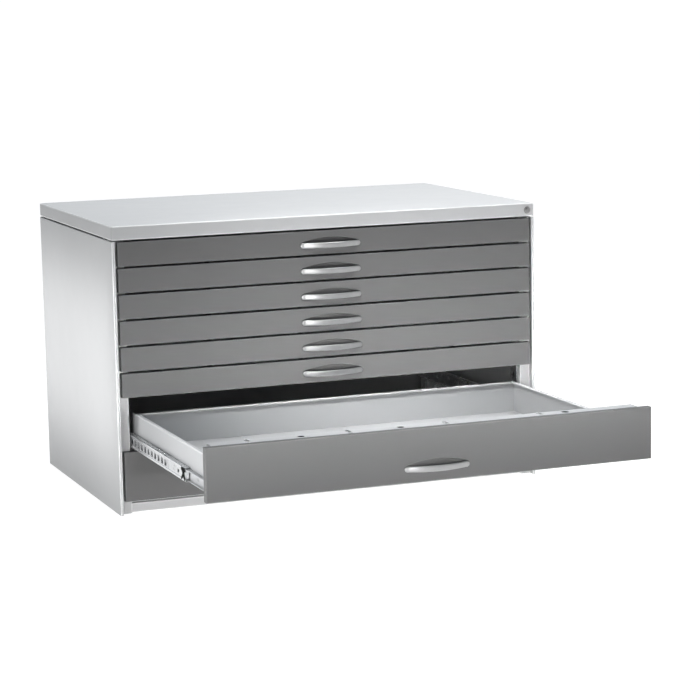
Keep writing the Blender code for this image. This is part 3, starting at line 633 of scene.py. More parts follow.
def make_sides():
    """Both side panels: one sheet folded from the rear flange to the inner front flange."""
    high = corners_of("left_side_panel")[1, 2] - TOP_SEAM
    bends = [(REAR_FLANGE, DEPTH), (0.0, DEPTH), (0.0, 0.0), (FRONT_RETURN, 0.0)]
    bends += [(FRONT_RETURN, RECESS), (INNER_FLANGE, RECESS), (INNER_FLANGE, FLANGE_END)]
    corners = [at(*bend) for bend in bends]
    roll = high - TOP_ROLL * (1 - np.sin(np.linspace(0, np.pi / 2, 7)))
    for label, side in SIDES.items():
        holes = []
        if side > 0:
            bar = HALF_WIDTH - BAR_X
            ends = at(bar - HOOK_SLOT_HALF, RECESS), at(bar + HOOK_SLOT_HALF, RECESS)
            holes = [(*ends, *hook_window(bottom)) for bottom in BOTTOMS.values()]
        shape = swept(corners, 0.0, high, "z", holes, lines=roll)
        turn_in_top(shape, high, TOP_ROLL)
        if side > 0:
            shape = shape.mirrored()
        name = f"{label}_side_sheet"
        node = f"{label}_side_panel"
        make_piece(name, shape, SHELL_PAINT, "cabinet", [node], GAUGE)


def make_plinth():
    """The front and rear plinth rails: channels with a rounded upper and lower fold."""
    for name, facing in (("front_plinth_rail", 1), ("rear_plinth_rail", -1)):
        low, high = corners_of(name)
        front, rear = (low[1], high[1])[::facing]
        top = high[2] - PLINTH_DROP
        corners = [(rear, top), (front, top), (front, low[2]), (rear, low[2])]
        if facing < 0:
            corners = corners[::-1]
        shape = swept(corners, low[0], high[0], "x")
        piece = name.replace("rail", "channel")
        make_piece(piece, shape, SHELL_PAINT, "cabinet", [name], GAUGE)


# Drawers


def body_of_drawer(number):
    """The name of the body that a drawer's pieces ride on."""
    return f"drawer_{number}"


def softened(loop, width):
    """A closed outline whose places are means of the outline over a run of one width.

    The mean is the difference of the outline's running integral at both ends of the run,
    divided by the width, so a corner becomes a smooth curve of about that length.
    """
    closed = np.vstack([loop, loop[:1]])
    walked = lengths(closed)
    total = walked[-1]
    fine = np.linspace(0, total, 6001)
    dense = np.stack([np.interp(fine, walked, closed[:, i]) for i in (0, 1)], 1)
    step = fine[1]
    integral = np.vstack([[0, 0], np.cumsum((dense[1:] + dense[:-1]) / 2 * step, axis=0)])

    def up_to(place):
        """The running integral up to a place, which may lie past either end."""
        turns = np.floor(place / total)
        inner = place - turns * total
        found = np.stack([np.interp(inner, fine, integral[:, i]) for i in (0, 1)], 1)
        return found + turns[:, None] * integral[-1]

    at_corner = walked[:-1]
    return (up_to(at_corner + width / 2) - up_to(at_corner - width / 2)) / width


# Fronts: steps along the loops, the pressed recess and the pan's folds
LOOP_SIDE = 48
LOOP_END = 6
RECESS_HALF = 0.083
RECESS_RISE = 0.020
RECESS_SHOULDER = 0.0075
RECESS_DROP = 0.005
CUP_DEPTH = 0.014
BOW_SHARE = 0.955
FRONT_THICK = 0.020
PAN_END_LIP = 0.036
PAN_LIP = 0.012
CORNER_BLEND = 0.007
FOLD_STEPS = 6


def crescent(grow):
    """A circular segment over short upright ends, grown outwards, as the inner loop.

    The arc is centre + (R + grow) (sin t, cos t) between its two ends, where R is
    (half chord squared + h squared) / 2 h for an arc that rises by h over its ends.
    """
    arc_rise = RECESS_RISE - RECESS_SHOULDER
    radius = (RECESS_HALF**2 + arc_rise**2) / (2 * arc_rise)
    centre = RECESS_RISE - radius
    spread = np.arcsin(RECESS_HALF / radius)
    along = np.linspace(0, 1, LOOP_SIDE, endpoint=False)
    up = np.linspace(0, 1, LOOP_END, endpoint=False)
    half = RECESS_HALF + grow
    low = -RECESS_DROP - grow
    turn = spread * (1 - 2 * along)
    arc = (radius + grow) * np.stack([np.sin(turn), np.cos(turn)], 1) + (0.0, centre)
    bottom = np.stack([half * (2 * along - 1), np.full(LOOP_SIDE, low)], 1)
    outer = radius + grow
    right_end = np.array([outer * np.sin(spread), centre + outer * np.cos(spread)])
    right = np.array([half, low]) + (right_end - (half, low)) * up[:, None]
    left_end = right_end * (-1, 1)
    left = left_end + (np.array([-half, low]) - left_end) * up[:, None]
    return softened(np.vstack([bottom, right, arc, left]), CORNER_BLEND)


def panel_loop(half_width, low, high):
    """A rectangle's outline with as many places on each side as the crescent's loop."""
    along = np.linspace(0, 1, LOOP_SIDE, endpoint=False)
    up = np.linspace(0, 1, LOOP_END, endpoint=False)
    wide = half_width * (2 * along - 1)
    tall = low + (high - low) * up
    bottom = np.stack([wide, np.full(LOOP_SIDE, low)], 1)
    right = np.stack([np.full(LOOP_END, half_width), tall], 1)
    top = np.stack([-wide, np.full(LOOP_SIDE, high)], 1)
    left = np.stack([np.full(LOOP_END, -half_width), low + (high - low) * (1 - up)], 1)
    return np.vstack([bottom, right, top, left])


def make_front(number):
    """A folded pan: rings from the floor of the pressed recess out to the rear lips.

    Each ring is the crescent or the panel's rectangle at one offset and one depth. Quarter
    arcs of (offset, depth) round the recess floor, its rim and the pan's folds.
    """
    node = f"front_panel_{number}"
    low, high = corners_of(node) + FRONT_TRIM
    face, half = low[1], high[0]
    level = float(corners_of(f"handle_{number}")[:, 2].mean())
    quarter = np.linspace(0, np.pi / 2, FOLD_STEPS)
    floor_radius, rim, draft = 0.004, 0.0012, 0.0012
    rings, depths, bend_wear_and_highlight = [], [], []

    def ring(points, depth, edge_highlight_and_wear=0.0):
        """Keeps one more ring."""
        rings.append(points)
        depths.append(depth)
        bend_wear_and_highlight.append(edge_highlight_and_wear)

    for turn in quarter:
        inward = draft + floor_radius * (1 - np.sin(turn))
        ring(crescent(-inward), CUP_DEPTH - floor_radius * (1 - np.cos(turn)))
    # Rings given 1.0 take the paler bend paint: partly rubbed paint, partly a painted highlight on
    # the rim and folds.
    for turn in quarter:
        ring(crescent(rim * (1 - np.cos(turn))), rim * (1 - np.sin(turn)), 1.0)
    ring(crescent(rim + BEND_MARGIN), 0.0)
    middle = (0.0, level)
    rings = [points + middle for points in rings]

    def frame_ring(inset, depth, edge_highlight_and_wear=0.0):
        """Keeps the panel's rectangle at an inset."""
        ring(panel_loop(half - inset, low[2] + inset, high[2] - inset), depth, edge_highlight_and_wear)

    margin = FRONT_BEND + BEND_MARGIN
    frame_ring(margin, 0.0)
    for turn in quarter:
        frame_ring(FRONT_BEND * (1 - np.sin(turn)), FRONT_BEND * (1 - np.cos(turn)), 1.0)
    frame_ring(0.0, margin)
    frame_ring(0.0, FRONT_THICK - margin)
    for turn in quarter:
        inset, short = FRONT_BEND * (1 - np.cos(turn)), FRONT_BEND * (1 - np.sin(turn))
        frame_ring(inset, FRONT_THICK - short, 1.0)
    ring(panel_loop(half - PAN_END_LIP, low[2] + PAN_LIP, high[2] - PAN_LIP), FRONT_THICK)
    count = len(rings[0])
    flat = np.stack(rings)
    depth = np.broadcast_to(np.array(depths)[:, None] + face, flat.shape[:2])
    points = np.stack([flat[..., 0], depth, flat[..., 1]], -1)
    faces = grid_faces(len(rings), count, True).reshape(-1, 4)
    floor = np.arange(count)
    shape = Shape().add(points, [faces, [floor]], np.repeat(bend_wear_and_highlight, count))
    body = body_of_drawer(number)
    make_piece(f"front_pan_{number}", shape, FRONT_PAINT, body, [node], GAUGE)
    make_hook(number, face + FRONT_THICK, BOTTOMS[number])


def make_hook(number, rear, bottom):
    """The lock hook behind the front's right end: a leg that runs back, with its tip down."""
    leg_rise, leg, reach, tip, drop, half = 0.037, 0.006, 0.0195, 0.004, 0.012, 0.001
    low, high = bottom + leg_rise, bottom + leg_rise + leg
    end = rear + reach
    outline = [(rear, low), (end - tip, low), (end - tip, low - drop), (end, low - drop)]
    outline += [(end, high), (rear, high)]
    shape = extruded(outline, BAR_X - half, BAR_X + half, "x")
    name = f"lock_hook_{number}"
    hook = make_piece(name, shape, ZINC, body_of_drawer(number), closed=True)
    round_edges(hook, 0.0005, 2)


def make_handle(number):
    """A cast bow: a round-fronted section carried along an arc between two flat ends.

    With u from -1 to 1 along the bow, x is the half length times 0.65 u + 0.35 sin(pi u / 2),
    so the rows are closer near the ends. The stand-off is a circular arc, averaged into the
    flat ends. The section is a flattened oval: powers of the cosine and sine of the angle
    round it. Its height falls off as a quarter circle over the last few millimetres.
    """
    node = f"handle_{number}"
    low, high = corners_of(node)
    length, tall = high[0] - low[0], high[2] - low[2]
    bow, thick, pad, tip = high[1] - low[1], 0.0048, 0.010, 0.0068
    level = (low[2] + high[2]) / 2
    half = length / 2 * BOW_SHARE
    rows, sides, sine_share = 97, 32, 0.35
    turn = np.linspace(-np.pi / 2, np.pi / 2, rows)
    x = half * np.sin(turn) * sine_share + half * turn / (np.pi / 2) * (1 - sine_share)
    reach = half - pad
    rise = bow - thick
    radius = (reach**2 + rise**2) / (2 * rise)
    dense = np.linspace(-half * 1.2, half * 1.2, 2401)
    arc = np.sqrt(np.maximum(radius**2 - dense**2, 0)) - (radius - rise)
    arc = np.where(np.abs(dense) < reach, np.maximum(arc, 0), 0)
    window = np.hanning(181)
    arc = np.convolve(arc, window / window.sum(), "same")
    arc *= rise / arc.max()
    out = np.interp(x, dense, arc)
    lean = np.arctan(np.interp(x, dense, np.gradient(arc, dense)))
    near_end = np.clip((np.abs(x) - (half - tip)) / tip, 0, 0.995)
    shrink = np.sqrt(1 - near_end**2)
    around = 2 * np.pi * np.arange(sides) / sides
    c, s = np.cos(around), np.sin(around)
    across = np.sign(s) * np.abs(s) ** 0.7 * tall / 2
    front = thick * np.where(c > 0, np.abs(c) ** 0.4, 0.0)
    back = thick * np.where(c < 0, 0.25 * np.abs(c) ** 0.6, 0.0)
    deep = thick * 0.25 + front * 0.75 - back
    fade = 0.45 + 0.55 * shrink
    normal_x = -np.sin(lean)[:, None]
    normal_y = -np.cos(lean)[:, None]
    depth = deep[None] * fade[:, None]
    base = high[1]
    px = x[:, None] + depth * normal_x
    py = base - out[:, None] + depth * normal_y
    pz = level + across[None] * shrink[:, None]
    points = np.stack([px, py, pz], -1)
    faces = grid_faces(rows, sides, True).reshape(-1, 4)
    ends = [[np.arange(sides)[::-1]], [np.arange(sides) + (rows - 1) * sides]]
    shape = Shape().add(points, [faces, *ends])
    body = body_of_drawer(number)
    name = f"bow_handle_{number}"
    make_piece(name, shape, CAST_SILVER, body, [node], closed=True)


# Steps along each side of a pierced cell
CELL_STEPS = 10


def unit_square():
    """Places once round a square from -1 to 1, anticlockwise from a lower left corner."""
    t = np.linspace(-1, 1, CELL_STEPS + 1)[:-1]
    one = np.ones_like(t)
    sides = (t, -one), (one, t), (-t, one), (-one, -t)
    return np.concatenate([np.stack(pair, 1) for pair in sides])


def lip_cells(middle_x, middle_y, half_x, half_y, length, radius, lean, raised, top):
    """Rings from a round-ended hole out to a rectangle that fits between the lip's rows.

    A ray at angle t meets the hole's outline at radius / |sin(t - lean)| on its straight
    sides and at a c + sqrt(r r - a a s s) on its round ends.
    """
    outer = unit_square() * (half_x, half_y)
    ray = unit(outer)
    straight = length / 2 - radius
    c = np.abs(ray[:, 0] * np.cos(lean) + ray[:, 1] * np.sin(lean))
    s = np.abs(ray[:, 1] * np.cos(lean) - ray[:, 0] * np.sin(lean))
    flat = radius / np.maximum(s, 1e-9)
    round_end = straight * c + np.sqrt(np.maximum(radius**2 - (straight * s) ** 2, 0))
    reach = np.where(flat * c <= straight, flat, round_end)
    inner = ray * reach[:, None]
    swell = ray * (reach + 0.0022)[:, None]
    half_way = ray * (reach + 0.0008)[:, None]
    rows = [inner, half_way, swell, outer]
    heights = [raised, raised * 0.8, 0.0, 0.0]
    points = [
        np.column_stack([row + (middle_x, middle_y), np.full(len(row), top + height)])
        for row, height in zip(rows, heights)
    ]
    faces = grid_faces(len(rows), len(outer), True).reshape(-1, 4)
    return Shape().add(np.concatenate(points), [faces])


# Trays: insets from the side's outer face, heights over the bay's bottom, and the lip
TRAY_WALL = 0.0540
TALL_WALL = 0.092
LOW_WALL = 0.052
WALL_FOLD = 0.010
WALL_TURN = 0.0055
WALL_TAIL = 0.024
LIP_DEPTH = 0.045
LIP_RETURN = 0.014
LIP_HALF = 0.5605
LIP_DROP = 0.0016
EDGE_GAP = 0.0004

# Middles of the lip's slots and round holes. One of the four slots is guessed.
LOUVRES = (-0.466, -0.210, 0.043, 0.297)
LIP_HOLES = (-0.332, -0.076, 0.366)


def make_tray(number):
    """A folded tray: side and floor sheet, front wall with its pierced lip, and rear wall.

    The lip lies just under the front pan's top, and the side walls run on past the rear.
    """
    node = f"tray_{number}"
    low, high = corners_of(node)
    start, end, floor = low[1], high[1], low[2]
    wall = BOTTOMS[number] + (TALL_WALL if number in TALL_DRAWERS else LOW_WALL)
    outer, inner = HALF_WIDTH - TRAY_WALL, HALF_WIDTH - TRAY_WALL - WALL_FOLD
    section = [(-inner, wall - WALL_TURN), (-inner, wall), (-outer, wall), (-outer, floor)]
    section += [(-x, z) for x, z in section[::-1]]
    shape = swept(section, start + 0.0005, end - 0.0005, "y")
    for side in (-1, 1):
        tail = [(side * outer, wall), (side * outer, floor)][::-side]
        shape.put(swept(tail, end - 0.0005, end + WALL_TAIL, "y", margin=0.0))
    width = outer - GAUGE / 2
    lip_top = corners_of(f"front_panel_{number}")[1, 2] + FRONT_TRIM[1, 2] - LIP_DROP
    near, back = start + EDGE_GAP, start + LIP_DEPTH
    lip = [(back, lip_top - LIP_RETURN), (back, lip_top), (near, lip_top)]
    middle = (near + back) / 2
    half_y = (back - near) / 2 - BEND - BEND_MARGIN
    half_x = 0.015
    across = np.linspace(-1, 1, CELL_STEPS + 1)
    places = [*LOUVRES, *LIP_HOLES]
    lines = np.concatenate([place + half_x * across for place in places])
    stops = [(middle + half_y * share, lip_top) for share in across]
    span = (middle - half_y, lip_top), (middle + half_y, lip_top)
    holes = [(*span, place - half_x, place + half_x) for place in places]
    shape.put(swept(lip, -LIP_HALF, LIP_HALF, "x", holes, stops, lines))
    shape.put(swept([(start, lip_top - GAUGE), (start, floor + EDGE_GAP)], -width, width, "x"))
    # Length, radius, lean and raised edge
    slot = (2 * half_y - 0.005, 0.0042, np.pi / 2, 0.0026)
    hole = (0.0232, 0.0092, np.pi / 2, 0.0006)
    for kind, kind_places in ((slot, LOUVRES), (hole, LIP_HOLES)):
        for place in kind_places:
            shape.put(lip_cells(place, middle, half_x, half_y, *kind, lip_top))
    # Black plastic plugs fill the round holes in the lip: painted shade standing in for the dark
    # inside of each hole.
    hole_shade_plugs = Shape()
    plug = [(0.0, 0.0002), (0.006, 0.0), (0.0082, -0.0005), (0.0088, -0.0014)]
    plug.append((0.0088, -0.006))
    for place in LIP_HOLES:
        hole_shade_plugs.put(turned(plug, (place, middle, lip_top), "z", 32))
    name = f"lip_hole_shade_{number}"
    make_piece(name, hole_shade_plugs, BLACK_PLASTIC, body_of_drawer(number), closed=True)
    rear = [(end, floor + EDGE_GAP), (end, wall - 0.0002), (end - WALL_FOLD, wall - 0.0002)]
    rear += [(end - WALL_FOLD, wall - WALL_TURN)]
    shape.put(swept(rear, -width, width, "x"))
    body = body_of_drawer(number)
    make_piece(f"tray_sheet_{number}", shape, TRAY_PAINT, body, [node], GAUGE)
    make_drawer_members(number, start, BOTTOMS[number])


# Slides

# Height of the middle over the bay's bottom, and half of each member's height
SLIDE_CENTRE = 0.0215
FIXED_HALF = 0.0210
MIDDLE_HALF = 0.0175
DRAWER_HALF = 0.0140
SLIDE_LENGTH = DEPTH - 0.065
SLIDE_SHEET = 0.0010

# Each member's web and the tips of its arms, as insets from the side's outer face
FIXED_WEB, FIXED_TIPS = 0.0377, 0.0501
MIDDLE_WEB, MIDDLE_TIPS = 0.0405, 0.0529
DRAWER_WEB, DRAWER_TIPS = 0.0533, 0.0426

# Places along a middle member from its front end
BOSS_PLACE = 0.097
CAGE_START = 0.148
CAGE_LENGTH = 0.360
CAGE_PITCH = 0.030
CAGE_RUNG = 0.012


def channel(web, tips, half, ridge, centre, curl=0.0028, valley=0.006):
    """The section of a slide member on the left, from its upper tip to its lower tip.

    The web stands proud by a ridge along both edges, where the balls run, and the arms
    end in a short curl.
    """
    crest = web - ridge
    rows = [(tips, half - curl), (tips, half), (crest, half), (crest, half - valley)]
    rows += [(web, half - valley - abs(ridge))]
    rows += [(inset, -rise) for inset, rise in rows[::-1]]
    return [(inset - HALF_WIDTH, centre + rise) for inset, rise in rows]


def make_drawer_members(number, start, bottom):
    """The slide member on each side of the tray, with holes in its web, and its rivets."""
    centre = bottom + SLIDE_CENTRE
    near = start + 0.0018
    section = channel(DRAWER_WEB, DRAWER_TIPS, DRAWER_HALF, 0.0, centre, curl=0.0022)[::-1]
    section = section[:3] + section[-3:]
    places = near + np.array([0.03, 0.09, 0.15, 0.46, 0.53, 0.60])
    x = DRAWER_WEB - HALF_WIDTH
    holes = [((x, centre - 0.004), (x, centre + 0.004), y, y + 0.012) for y in places]
    sheet = swept(section, near, near + SLIDE_LENGTH, "y", holes, radius=0.0016, margin=0.0004)
    rivets = Shape()
    dome = [(0.0, -0.0014), (0.0016, -0.0013), (0.0029, -0.0008), (0.0033, 0.0)]
    dome.append((0.0033, 0.001))
    for y in near + np.array([0.06, 0.22, 0.38, 0.54, 0.67]):
        rivets.put(turned(dome, (x, y, centre), "x", 16))
    body = body_of_drawer(number)
    for label, side in SIDES.items():
        first, second = (sheet, rivets) if side < 0 else (sheet.mirrored(), rivets.mirrored())
        name = f"drawer_member_{label}_{number}"
        make_piece(name, first, DULL_ZINC, body, thick=SLIDE_SHEET)
        name = f"member_rivets_{label}_{number}"
        make_piece(name, second, DULL_ZINC, body, closed=True)


def lever_outline():
    """The black lever seen from the side: arcs on four lobes joined by a narrow neck."""
    lobe = 0.0045
    turns = np.linspace(0, np.pi, 9)

    def arc(along, rise, first):
        """Half a circle about a lobe's middle, from its first angle on."""
        ring = np.stack([np.cos(first + turns), np.sin(first + turns)], 1)
        return (along, rise) + lobe * ring

    parts = [
        arc(0.0005, 0.0122, np.pi / 2),
        [(0.0080, 0.003), (0.0080, -0.001)],
        arc(0.0025, -0.0118, np.pi / 2),
        [(0.0140, -0.0060)],
        arc(0.0275, -0.0115, np.pi),
        [(0.0205, -0.001), (0.0205, 0.003)],
        arc(0.0255, 0.0118, -np.pi / 2),
    ]
    return np.vstack(parts)


def make_end_tab(end, centre):
    """The tab bent in at the middle member's front end, with cut corners."""
    near, far = 0.0412 - HALF_WIDTH, 0.0490 - HALF_WIDTH
    front, rear = end + 0.0002, end + 0.0012
    half, cut = 0.0108, 0.0020
    outline = [(near, -half), (far - cut, -half), (far, cut - half)]
    outline += [(x, -z) for x, z in outline[::-1]]
    return extruded(np.array(outline) + (0.0, centre), front, rear, "y")


def make_middle_members(number):
    """Both middle members, with their cages, balls, stop bosses, end tabs and black levers."""
    body = f"middle_slides_{number}"
    end = corners_of(f"middle_slide_left_{number}")[1, 1] - SLIDE_LENGTH
    centre = BOTTOMS[number] + SLIDE_CENTRE
    ridge = 0.0011
    section = channel(MIDDLE_WEB, MIDDLE_TIPS, MIDDLE_HALF, ridge, centre)
    x = MIDDLE_WEB - HALF_WIDTH
    boss_y = end + BOSS_PLACE
    places = end + np.array([0.055, 0.62, 0.66])
    holes = [((x, centre + 0.004), (x, centre - 0.004), y, y + 0.014) for y in places]
    windows = cage_windows(end + CAGE_START)
    holes += [((x, centre + 0.0075), (x, centre - 0.0075), *window) for window in windows]
    holes.append(((x, centre + 0.003), (x, centre - 0.003), boss_y - 0.003, boss_y + 0.003))
    sheet = swept(section, end, end + SLIDE_LENGTH, "y", holes, radius=0.0015, margin=0.0003)
    ring = [(0.0037, 0.0004), (0.0037, -0.0008), (0.0046, -0.0012), (0.0064, -0.0012)]
    ring += [(0.0078, -0.0006), (0.0082, 0.0004)]
    boss = turned(ring[::-1], (x, boss_y, centre), "x", 32)
    cage = make_cage_shape(end + CAGE_START, centre)
    balls = make_ball_shape(end + CAGE_START, centre)
    tab = make_end_tab(end, centre)
    lever_x, lever_setback, lever_thick = 0.0389 - HALF_WIDTH, 0.004, 0.0011
    outline = lever_outline() + (end + lever_setback, centre)
    lever = extruded(outline, lever_x, lever_x + lever_thick, "x")
    for label, side in SIDES.items():
        turn = (lambda shape: shape) if side < 0 else (lambda shape: shape.mirrored())
        tag = f"{label}_{number}"
        nodes = [f"middle_slide_{tag}"]
        name = f"middle_member_{tag}"
        make_piece(name, turn(sheet), ZINC, body, nodes, thick=SLIDE_SHEET)
        make_piece(f"stop_boss_{tag}", turn(boss), ZINC, body, thick=0.0006)
        make_piece(f"ball_cage_{tag}", turn(cage), ZINC, body, thick=0.0005)
        make_piece(f"balls_{tag}", turn(balls), BALL_STEEL, body, closed=True)
        folded = make_piece(f"end_tab_{tag}", turn(tab), ZINC, body, closed=True)
        round_edges(folded, 0.0003, 2)
        stands = [f"lever_{tag}"] if number == OPEN_DRAWER else []
        name, finish = f"black_lever_{tag}", "black_plastic"
        part = make_piece(name, turn(lever), BLACK_PLASTIC, body, stands, closed=True)
        round_edges(part, 0.0004, 2)


def cage_windows(start):
    """Where the windows between the cage's rungs begin and end along the slide."""
    count = int((CAGE_LENGTH - CAGE_RUNG) / CAGE_PITCH)
    near = start + CAGE_RUNG + CAGE_PITCH * np.arange(count)
    return np.stack([near, near + CAGE_PITCH - CAGE_RUNG], 1)


def make_cage_shape(start, centre):
    """A thin strip folded over the member's edges, with a window between each two rungs."""
    outer, back = 0.03985 - HALF_WIDTH, 0.0475 - HALF_WIDTH
    half, window_half, bevel = 0.0110, 0.008, 0.0008
    end = start + CAGE_LENGTH
    high, low = (outer, centre + window_half), (outer, centre - window_half)
    holes = [(high, low, *window) for window in cage_windows(start)]
    path = [(outer + 0.0006, centre + half), (outer, centre + half - bevel)]
    path += [(outer, centre - half + bevel), (outer + 0.0006, centre - half)]
    fold = {"radius": 0.0008, "gauge": 0.0004, "margin": 0.0002}
    shape = swept(path, start, end, "y", holes, **fold)
    for sign in (1, -1):
        rim = centre + sign * (MIDDLE_HALF + 0.0009)
        strip = [(back, rim), (outer + 0.0016, rim)][::sign]
        shape.put(swept_flat(strip, start, end))
    return shape


def swept_flat(path, start, end):
    """A straight two-point path carried along y."""
    points = placed(np.asarray(path, float), np.array([start, end]), "y")
    return Shape().add(points, [grid_faces(2, 2)[..., ::-1].reshape(-1, 4)])


def make_ball_shape(start, centre):
    """Two rows of small balls above and below the member's arms.

    A point of a ball is its centre plus the radius times (sin p cos t, sin p sin t, cos p).
    """
    ring, side = 6, 8
    radius, pitch, count, inset, lift = 0.0012, 0.009, 39, 0.0450, 0.0010
    polar = np.linspace(0, np.pi, ring + 1)
    round_ = np.linspace(0, 2 * np.pi, side, endpoint=False)
    nx = np.sin(polar)[:, None] * np.cos(round_)
    ny = np.sin(polar)[:, None] * np.sin(round_)
    nz = np.broadcast_to(np.cos(polar)[:, None], nx.shape)
    ball = np.stack([nx, ny, nz], -1).reshape(-1, 3) * radius
    faces = grid_faces(ring + 1, side, True).reshape(-1, 4)
    shape = Shape()
    for sign in (1, -1):
        y = start + pitch + pitch * np.arange(count)
        x = np.full(len(y), inset - HALF_WIDTH)
        z = np.full(len(y), centre + sign * (MIDDLE_HALF + lift))
        centres = np.stack([x, y, z], 1)
        points = (centres[:, None] + ball[None]).reshape(-1, 3)
        steps = (np.arange(len(y)) * len(ball))[:, None, None]
        shape.add(points, [(faces[None] + steps).reshape(-1, 4)])
    return shape


# Racks: the uprights' folded posts, and where the fixed members start
POST_FRONT = 0.042
POST_DEPTH = 0.04
POST_REAR_INSET = 0.035
POST_EDGE = 0.0016
RACK_FACE = 0.0375
FIXED_MEMBER_START = 0.0398


def make_racks():
    """Both racks: two folded uprights with their foot plates, and the fixed slide members."""
    slot_half, slot, slot_pitch, end_gap = 0.004, 0.014, 0.0344, 0.03
    for label, side in SIDES.items():
        node = f"{label}_slide_rack"
        high = corners_of(node)[1, 2]
        shape = Shape()
        for start in (POST_FRONT, DEPTH - POST_REAR_INSET - POST_DEPTH):
            end = start + POST_DEPTH
            corners = [at(POST_EDGE, start), at(RACK_FACE, start)]
            corners += [at(RACK_FACE, end), at(POST_EDGE, end)]
            middle = start + POST_DEPTH / 2
            near, far = at(RACK_FACE, middle - slot_half), at(RACK_FACE, middle + slot_half)
            heights = np.arange(end_gap, high - end_gap, slot_pitch)
            holes = [(near, far, z, z + slot) for z in heights]
            shape.put(swept(corners, 0.0, high, "z", holes))
            foot = [at(POST_EDGE, start + 0.001), at(0.037, start + 0.001)]
            foot += [at(0.037, end - 0.001), at(POST_EDGE, end - 0.001)]
            shape.put(extruded(foot, 0.0, 0.003, "z"))
        for bottom in BOTTOMS.values():
            centre = bottom + SLIDE_CENTRE
            section = channel(FIXED_WEB, FIXED_TIPS, FIXED_HALF, 0.0, centre)
            section = section[:3] + section[-3:]
            near = FRONT_Y + FIXED_MEMBER_START
            far = near + SLIDE_LENGTH
            shape.put(swept(section, near, far, "y", radius=0.0016, margin=0.0004))
        if side > 0:
            shape = shape.mirrored()
        make_piece(f"{label}_rack", shape, ZINC, "cabinet", [node], thick=SLIDE_SHEET)


# Lock


def make_lock():
    """The barrel and plug as turned parts, with the cam and its pin behind the face."""
    low, high = corners_of("lock_barrel")
    x, z = (low[0] + high[0]) / 2, (low[2] + high[2]) / 2
    rim_y, seat = low[1], FRONT_Y - 0.0002
    rim, shank, bore = (high[0] - low[0]) / 2, 0.0085, 0.0062
    profile = [(bore, high[1]), (bore, rim_y + 0.0006), (bore + 0.0005, rim_y)]
    profile += [(rim - 0.0012, rim_y), (rim - 0.0004, rim_y + 0.0004)]
    profile += [(rim, rim_y + 0.0011), (rim, seat)]
    profile += [(shank, seat), (shank, high[1]), (bore, high[1])]
    barrel = turned(profile, (x, 0.0, z), "y", 96)
    make_piece("lock_ring", barrel, NICKEL, "cabinet", ["lock_barrel"], closed=True)
    make_plug(x, z, rim_y)


def make_plug(x, z, face):
    """The plug's face as rings from the key slot out to the rim, then its side and cam."""
    steps = CELL_STEPS * 4
    square = unit_square()
    keyhole = square * (0.0007, 0.0032)
    ray = unit(square)
    rings = [(keyhole, 0.006), (keyhole, 0.0002), (keyhole * 1.08, 0.0)]
    edge = (0.0052, 0.0), (0.0056, 0.0002), (0.0058, 0.0006), (0.0058, 0.0245)
    rings += [(ray * radius, depth) for radius, depth in edge]
    points = [
        np.column_stack([x + ring[:, 0], np.full(steps, face + depth), z + ring[:, 1]])
        for ring, depth in rings
    ]
    faces = grid_faces(len(rings), steps, True).reshape(-1, 4)
    floor = np.arange(steps)[::-1]
    rear = np.arange(steps) + (len(rings) - 1) * steps
    shape = Shape().add(np.concatenate(points), [faces, [floor], [rear]])
    make_piece("lock_core", shape, NICKEL, "lock_plug", ["lock_plug"], closed=True)
    arm, half, back = 0.008, 0.004, FRONT_Y + 0.0224
    lean = np.pi / 4
    middle = (x - arm / 2 * np.cos(lean), z - arm / 2 * np.sin(lean))
    outline = capsule(arm + 2 * half, half, -lean) + middle
    cam = extruded(outline, back, back + 0.0025, "y")
    cam = make_piece("lock_cam", cam, ZINC, "lock_plug", closed=True)
    round_edges(cam, 0.0003, 2)
    pin_x, pin_z = x - arm * np.cos(lean), z - arm * np.sin(lean)
    profile = [(0.0, back), (0.002, back), (0.002, FRONT_Y + 0.0321), (0.0017, FRONT_Y + 0.0324)]
    profile += [(0.0, FRONT_Y + 0.0324)]
    pin = turned(profile, (pin_x, 0.0, pin_z), "y", 24)
    make_piece("cam_pin", pin, ZINC, "lock_plug", closed=True)


# Stage


def point_camera():
    """The camera at the photograph's angle: yaw from +Y towards +X, pitch, then roll."""
    yaw, pitch, roll = CAMERA_YAW, CAMERA_PITCH, CAMERA_ROLL
    ahead = Vector((np.sin(yaw) * np.cos(pitch), np.cos(yaw) * np.cos(pitch), np.sin(pitch)))
    level = Vector((np.cos(yaw), -np.sin(yaw), 0.0))
    above = level.cross(ahead)
    right = np.cos(roll) * level + np.sin(roll) * above
    up = np.cos(roll) * above - np.sin(roll) * level
    lens = bpy.data.cameras.new("photo angle")
    lens.sensor_width = SENSOR
    lens.lens = FOCAL_PIXELS / IMAGE_SIDE * SENSOR
    lens.clip_end = 100.0
    camera = bpy.data.objects.new("photo angle", lens)
    turn = Matrix((right, up, -ahead)).transposed().to_4x4()
    camera.matrix_world = Matrix.Translation(CAMERA_PLACE) @ turn
    bpy.context.scene.collection.objects.link(camera)
    bpy.context.scene.camera = camera


def area_light(name, place, target, size, power, spread=180.0, mirrored=True, matt=True):
    """A soft light at a place, turned to a target. Its spread is in degrees.

    One that isn't mirrored is left out of reflections, and one that isn't matt shows in
    nothing else.
    """
    data = bpy.data.lights.new(name, "AREA")
    data.shape = "RECTANGLE"
    data.size, data.size_y = size
    data.energy = power
    data.spread = np.radians(spread)
    light = bpy.data.objects.new(name, data)
    light.location = place
    light.rotation_euler = (Vector(target) - Vector(place)).to_track_quat("-Z", "Y").to_euler()
    light.visible_camera = False
    light.visible_glossy = mirrored
    light.visible_diffuse = matt
    bpy.context.scene.collection.objects.link(light)


